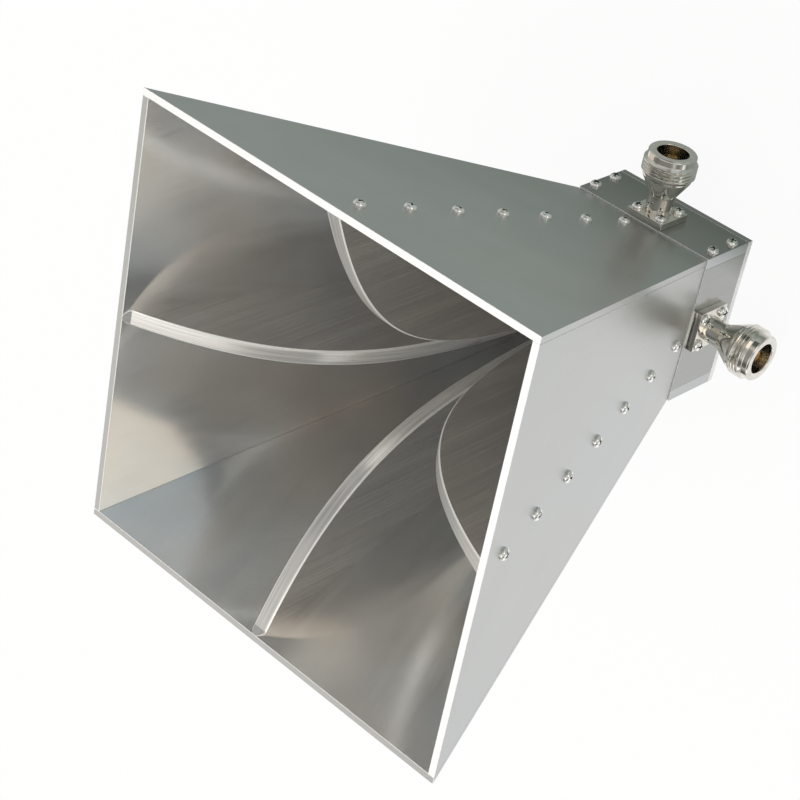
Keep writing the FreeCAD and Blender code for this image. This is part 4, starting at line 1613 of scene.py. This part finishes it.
@dataclass
class Studio:
    """Floor, backdrop light, lamps and camera."""

    camera_place: Triple = (0.293745, 0.304485, 0.498961)
    camera_aim: Triple = (-0.024625, -0.029633, 0.084925)
    picture_up: Triple = (-0.4819, 0.8250, -0.2952)
    lens: float = 97.155
    sensor: float = 36.0
    near_clip: float = 0.01
    floor_half: float = 6.0
    floor_white: float = 0.93
    floor_paint: Triple = (0.9, 0.9, 0.9)
    floor_drop: float = 0.05 * MM
    # The card is a painted reflection: a glowing sheet, darker than the floor, that only the metal
    # shows
    card_drop: float = 0.02 * MM
    card_half: float = 1.5
    card_span: float = 0.1
    painted_reflection_tones: tuple[tuple[float, Triple], ...] = (
        (0.1, (0.92, 0.92, 0.91)), (0.26, (0.225, 0.258, 0.23)),
        (0.36, (0.302, 0.336, 0.308)), (0.75, (0.425, 0.46, 0.43)))
    pale_side: Triple = (-0.25, -0.45, 0.85)
    room_tones: tuple[tuple[float, Triple], ...] = (
        (0.35, (0.1, 0.12, 0.105)), (0.46, (0.36, 0.37, 0.35)),
        (0.56, (0.58, 0.58, 0.58)), (0.75, (0.61, 0.6, 0.59)))
    lamp_tint: Triple = (1.0, 0.98, 0.95)
    lamp_aim: Triple = (0.0, 0.0, 0.08)
    lamps: tuple[Lamp, ...] = (
        Lamp("front_window", (-0.7, -0.76, 1.05), 0.5, 1.6),
        Lamp("low_window", (0.9, -1.0, 0.2), 0.4, 0.4),
        Lamp("fill", (0.2, 0.0, 1.5), 1.0, 5.5, mirrored=False))
    patch_softness: float = 0.3
    patches: tuple[Patch, ...] = (
        Patch((0.08, -0.28, 0.96), 0.5, (1.8, 1.74, 1.65)),
        Patch((0.83, 0.53, 0.19), 0.25, (1.36, 1.19, 1.02)),
        Patch((0.53, 0.83, 0.18), 0.24, (0.6, 0.62, 0.62)),
        Patch((0.16, -0.79, 0.59), 0.28, (0.8, 0.75, 0.68)),
        Patch((-0.82, -0.46, 0.36), 0.26, (0.76, 0.68, 0.58)),
        Patch((-0.42, -0.83, 0.36), 0.2, (0.36, 0.36, 0.35)),
        Patch((0.42, -0.81, 0.41), 0.16, (0.32, 0.32, 0.32)),
        Patch((-0.2, 0.97, 0.12), 0.36, (0.12, 0.14, 0.12)),
        Patch((-0.45, 0.88, 0.08), 0.26, (0.12, 0.13, 0.12)),
        Patch((0.81, -0.5, 0.3), 0.26, (0.14, 0.15, 0.15)),
        Patch((0.57, -0.55, 0.61), 0.17, (0.1, 0.1, 0.1)),
        Patch((-0.53, 0.57, 0.63), 0.17, (0.1, 0.1, 0.1)),
        Patch((-0.35, -0.93, 0.05), 0.3, (0.12, 0.12, 0.12)))

    def _lay(self, name: str, material: Material, low: tuple[float, float],
             high: tuple[float, float], drop: float) -> bpy.types.Object:
        """Lay a flat rectangle of the stage just under the horn.

        Args:
            name: Its name.
            material: Its material.
            low: Its low corner.
            high: Its high corner.
            drop: How far it lies under the horn.

        Returns:
            The rectangle's object.
        """
        mesh = bpy.data.meshes.new(name)
        mesh.from_pydata([(low[0], low[1], -drop), (high[0], low[1], -drop),
                          (high[0], high[1], -drop), (low[0], high[1], -drop)], [], [(0, 1, 2, 3)])
        mesh.materials.append(material)
        plane = bpy.data.objects.new(name, mesh)
        bpy.context.scene.collection.objects.link(plane)
        return plane

    def add_floor(self) -> None:
        """Lay a pale floor that shows white to the camera and in metal, and keeps a shadow."""
        nodes = Nodes("pale_floor")
        seen = nodes.add("ShaderNodeLightPath").outputs
        shown = nodes.math("MAXIMUM", seen["Is Camera Ray"],
                           nodes.math("MAXIMUM", seen["Is Glossy Ray"], seen["Is Transmission Ray"]))
        white = nodes.add("ShaderNodeEmission", {"Color": toned(WHITE)})
        paint = nodes.add("ShaderNodeBsdfDiffuse", {"Color": toned(self.floor_paint)})
        share = nodes.math("MULTIPLY", shown, self.floor_white)
        mix = nodes.add("ShaderNodeMixShader", {0: share, 1: paint.outputs[0], 2: white.outputs[0]})
        half = self.floor_half
        self._lay("floor", nodes.shows(mix.outputs[0]), (-half, -half), (half, half),
                  self.floor_drop)

    def add_painted_reflection_card(self) -> None:
        """Lay a grey card on the floor at the +Y side, which only the metal shows.

        Its tone falls from the floor's white to a dark grey beside the box, and rises to a middle grey
        further out. It glows, lights nothing and shows only in the metal: a painted reflection that
        darkens the metal on the +Y side.
        """
        nodes = Nodes("painted_reflection_card")
        place = nodes.add("ShaderNodeTexCoord").outputs["Object"]
        across = nodes.add("ShaderNodeSeparateXYZ", {0: place}).outputs["Y"]
        share = nodes.add("ShaderNodeMapRange", {0: across, 1: 0.0, 2: self.card_span}).outputs[0]
        glow = nodes.add("ShaderNodeEmission", {"Color": nodes.ramp(share, self.painted_reflection_tones)})
        card = self._lay("painted_reflection_card", nodes.shows(glow.outputs[0]), (-self.card_half, 0.0),
                         (self.card_half, self.card_half), self.card_drop)
        card.visible_camera = card.visible_diffuse = False
        card.visible_transmission = card.visible_shadow = False

    def add_world(self) -> None:
        """Light from all round: a pale room, darker and greener low on the +Y side.

        The tone follows how far a direction leans to the pale side. Over it lie soft round
        patches, as the furniture of a room would show in the metal. The backdrop is white.
        """
        world = bpy.data.worlds.new("studio")
        world.use_nodes = True
        tree = Tree(world.node_tree)
        direction = tree.add("ShaderNodeTexCoord").outputs["Generated"]
        lean = tree.dot(direction, self.pale_side)
        share = tree.add("ShaderNodeMapRange", {0: lean, 1: -1.0}).outputs[0]
        tone = tree.ramp(share, self.room_tones)
        for patch in self.patches:
            inner, outer = (math.cos(edge * patch.reach)
                            for edge in (1 - self.patch_softness, 1 + self.patch_softness))
            near = tree.spread(tree.dot(direction, patch.towards), 0.0, 1.0, outer, inner)
            tone = tree.blend(near, tone, (*patch.tone, 1.0))
        seen = tree.add("ShaderNodeLightPath").outputs["Is Camera Ray"]
        tree.put(tree.tree.nodes["Background"].inputs["Color"],
                 tree.blend(seen, tone, toned(WHITE)))
        bpy.context.scene.world = world

    def add_lamp(self, lamp: Lamp) -> None:
        """Hang a lamp that looks at the horn.

        Args:
            lamp: The lamp.
        """
        light = bpy.data.lights.new(lamp.name, "AREA")
        light.energy, light.size, light.color = lamp.power, lamp.size, self.lamp_tint
        hung = bpy.data.objects.new(lamp.name, light)
        place = np.array(lamp.place)
        hung.matrix_world = towards(place, place - self.lamp_aim, 0.0)
        hung.visible_glossy = lamp.mirrored
        bpy.context.scene.collection.objects.link(hung)

    def add_camera(self) -> None:
        """Set the camera at the photograph's place."""
        data = bpy.data.cameras.new("camera")
        data.lens, data.sensor_width, data.clip_start = self.lens, self.sensor, self.near_clip
        camera = bpy.data.objects.new("camera", data)
        place = Vector(self.camera_place)
        forward = (Vector(self.camera_aim) - place).normalized()
        right = forward.cross(Vector(self.picture_up)).normalized()
        turn = Matrix((right, right.cross(forward), -forward)).transposed().to_4x4()
        camera.matrix_world = Matrix.Translation(place) @ turn
        bpy.context.scene.collection.objects.link(camera)
        bpy.context.scene.camera = camera

    def build(self) -> None:
        """Set the whole studio."""
        bpy.context.scene.view_settings.view_transform = "Standard"
        self.add_floor()
        # Painted reflection: a glowing card that only the metal shows
        self.add_painted_reflection_card()
        self.add_world()
        for lamp in self.lamps:
            self.add_lamp(lamp)
        self.add_camera()


def main() -> None:
    """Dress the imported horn, piece by piece."""
    logging.basicConfig(level=logging.INFO, format="%(message)s")
    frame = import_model()
    LOG.info("%d nodes in the frame", len(frame["nodes"]))
    finishes = Finishes()
    flare = Flare(finishes)
    ridge = Ridge(finishes, flare)
    box = FeedBox(finishes)
    screws = Screws(finishes, flare, box)
    for side in Side:
        flare.add_wall(side)
        ridge.add(side)
        screws.add_ridge_screws(side)
    box.add_plates()
    box.add_back_plate()
    for side in (Side.TOP, Side.BOTTOM):
        screws.add_cover_screws(side)
    screws.add_back_screws()
    for name in ("top", "side"):
        socket = Socket(name, finishes)
        socket.add_body()
        socket.add_insulator()
        socket.add_sleeve()
        socket.add_contact()
        screws.add_flange_screws(socket)
    Studio().build()


if __name__ == "__main__":
    main()
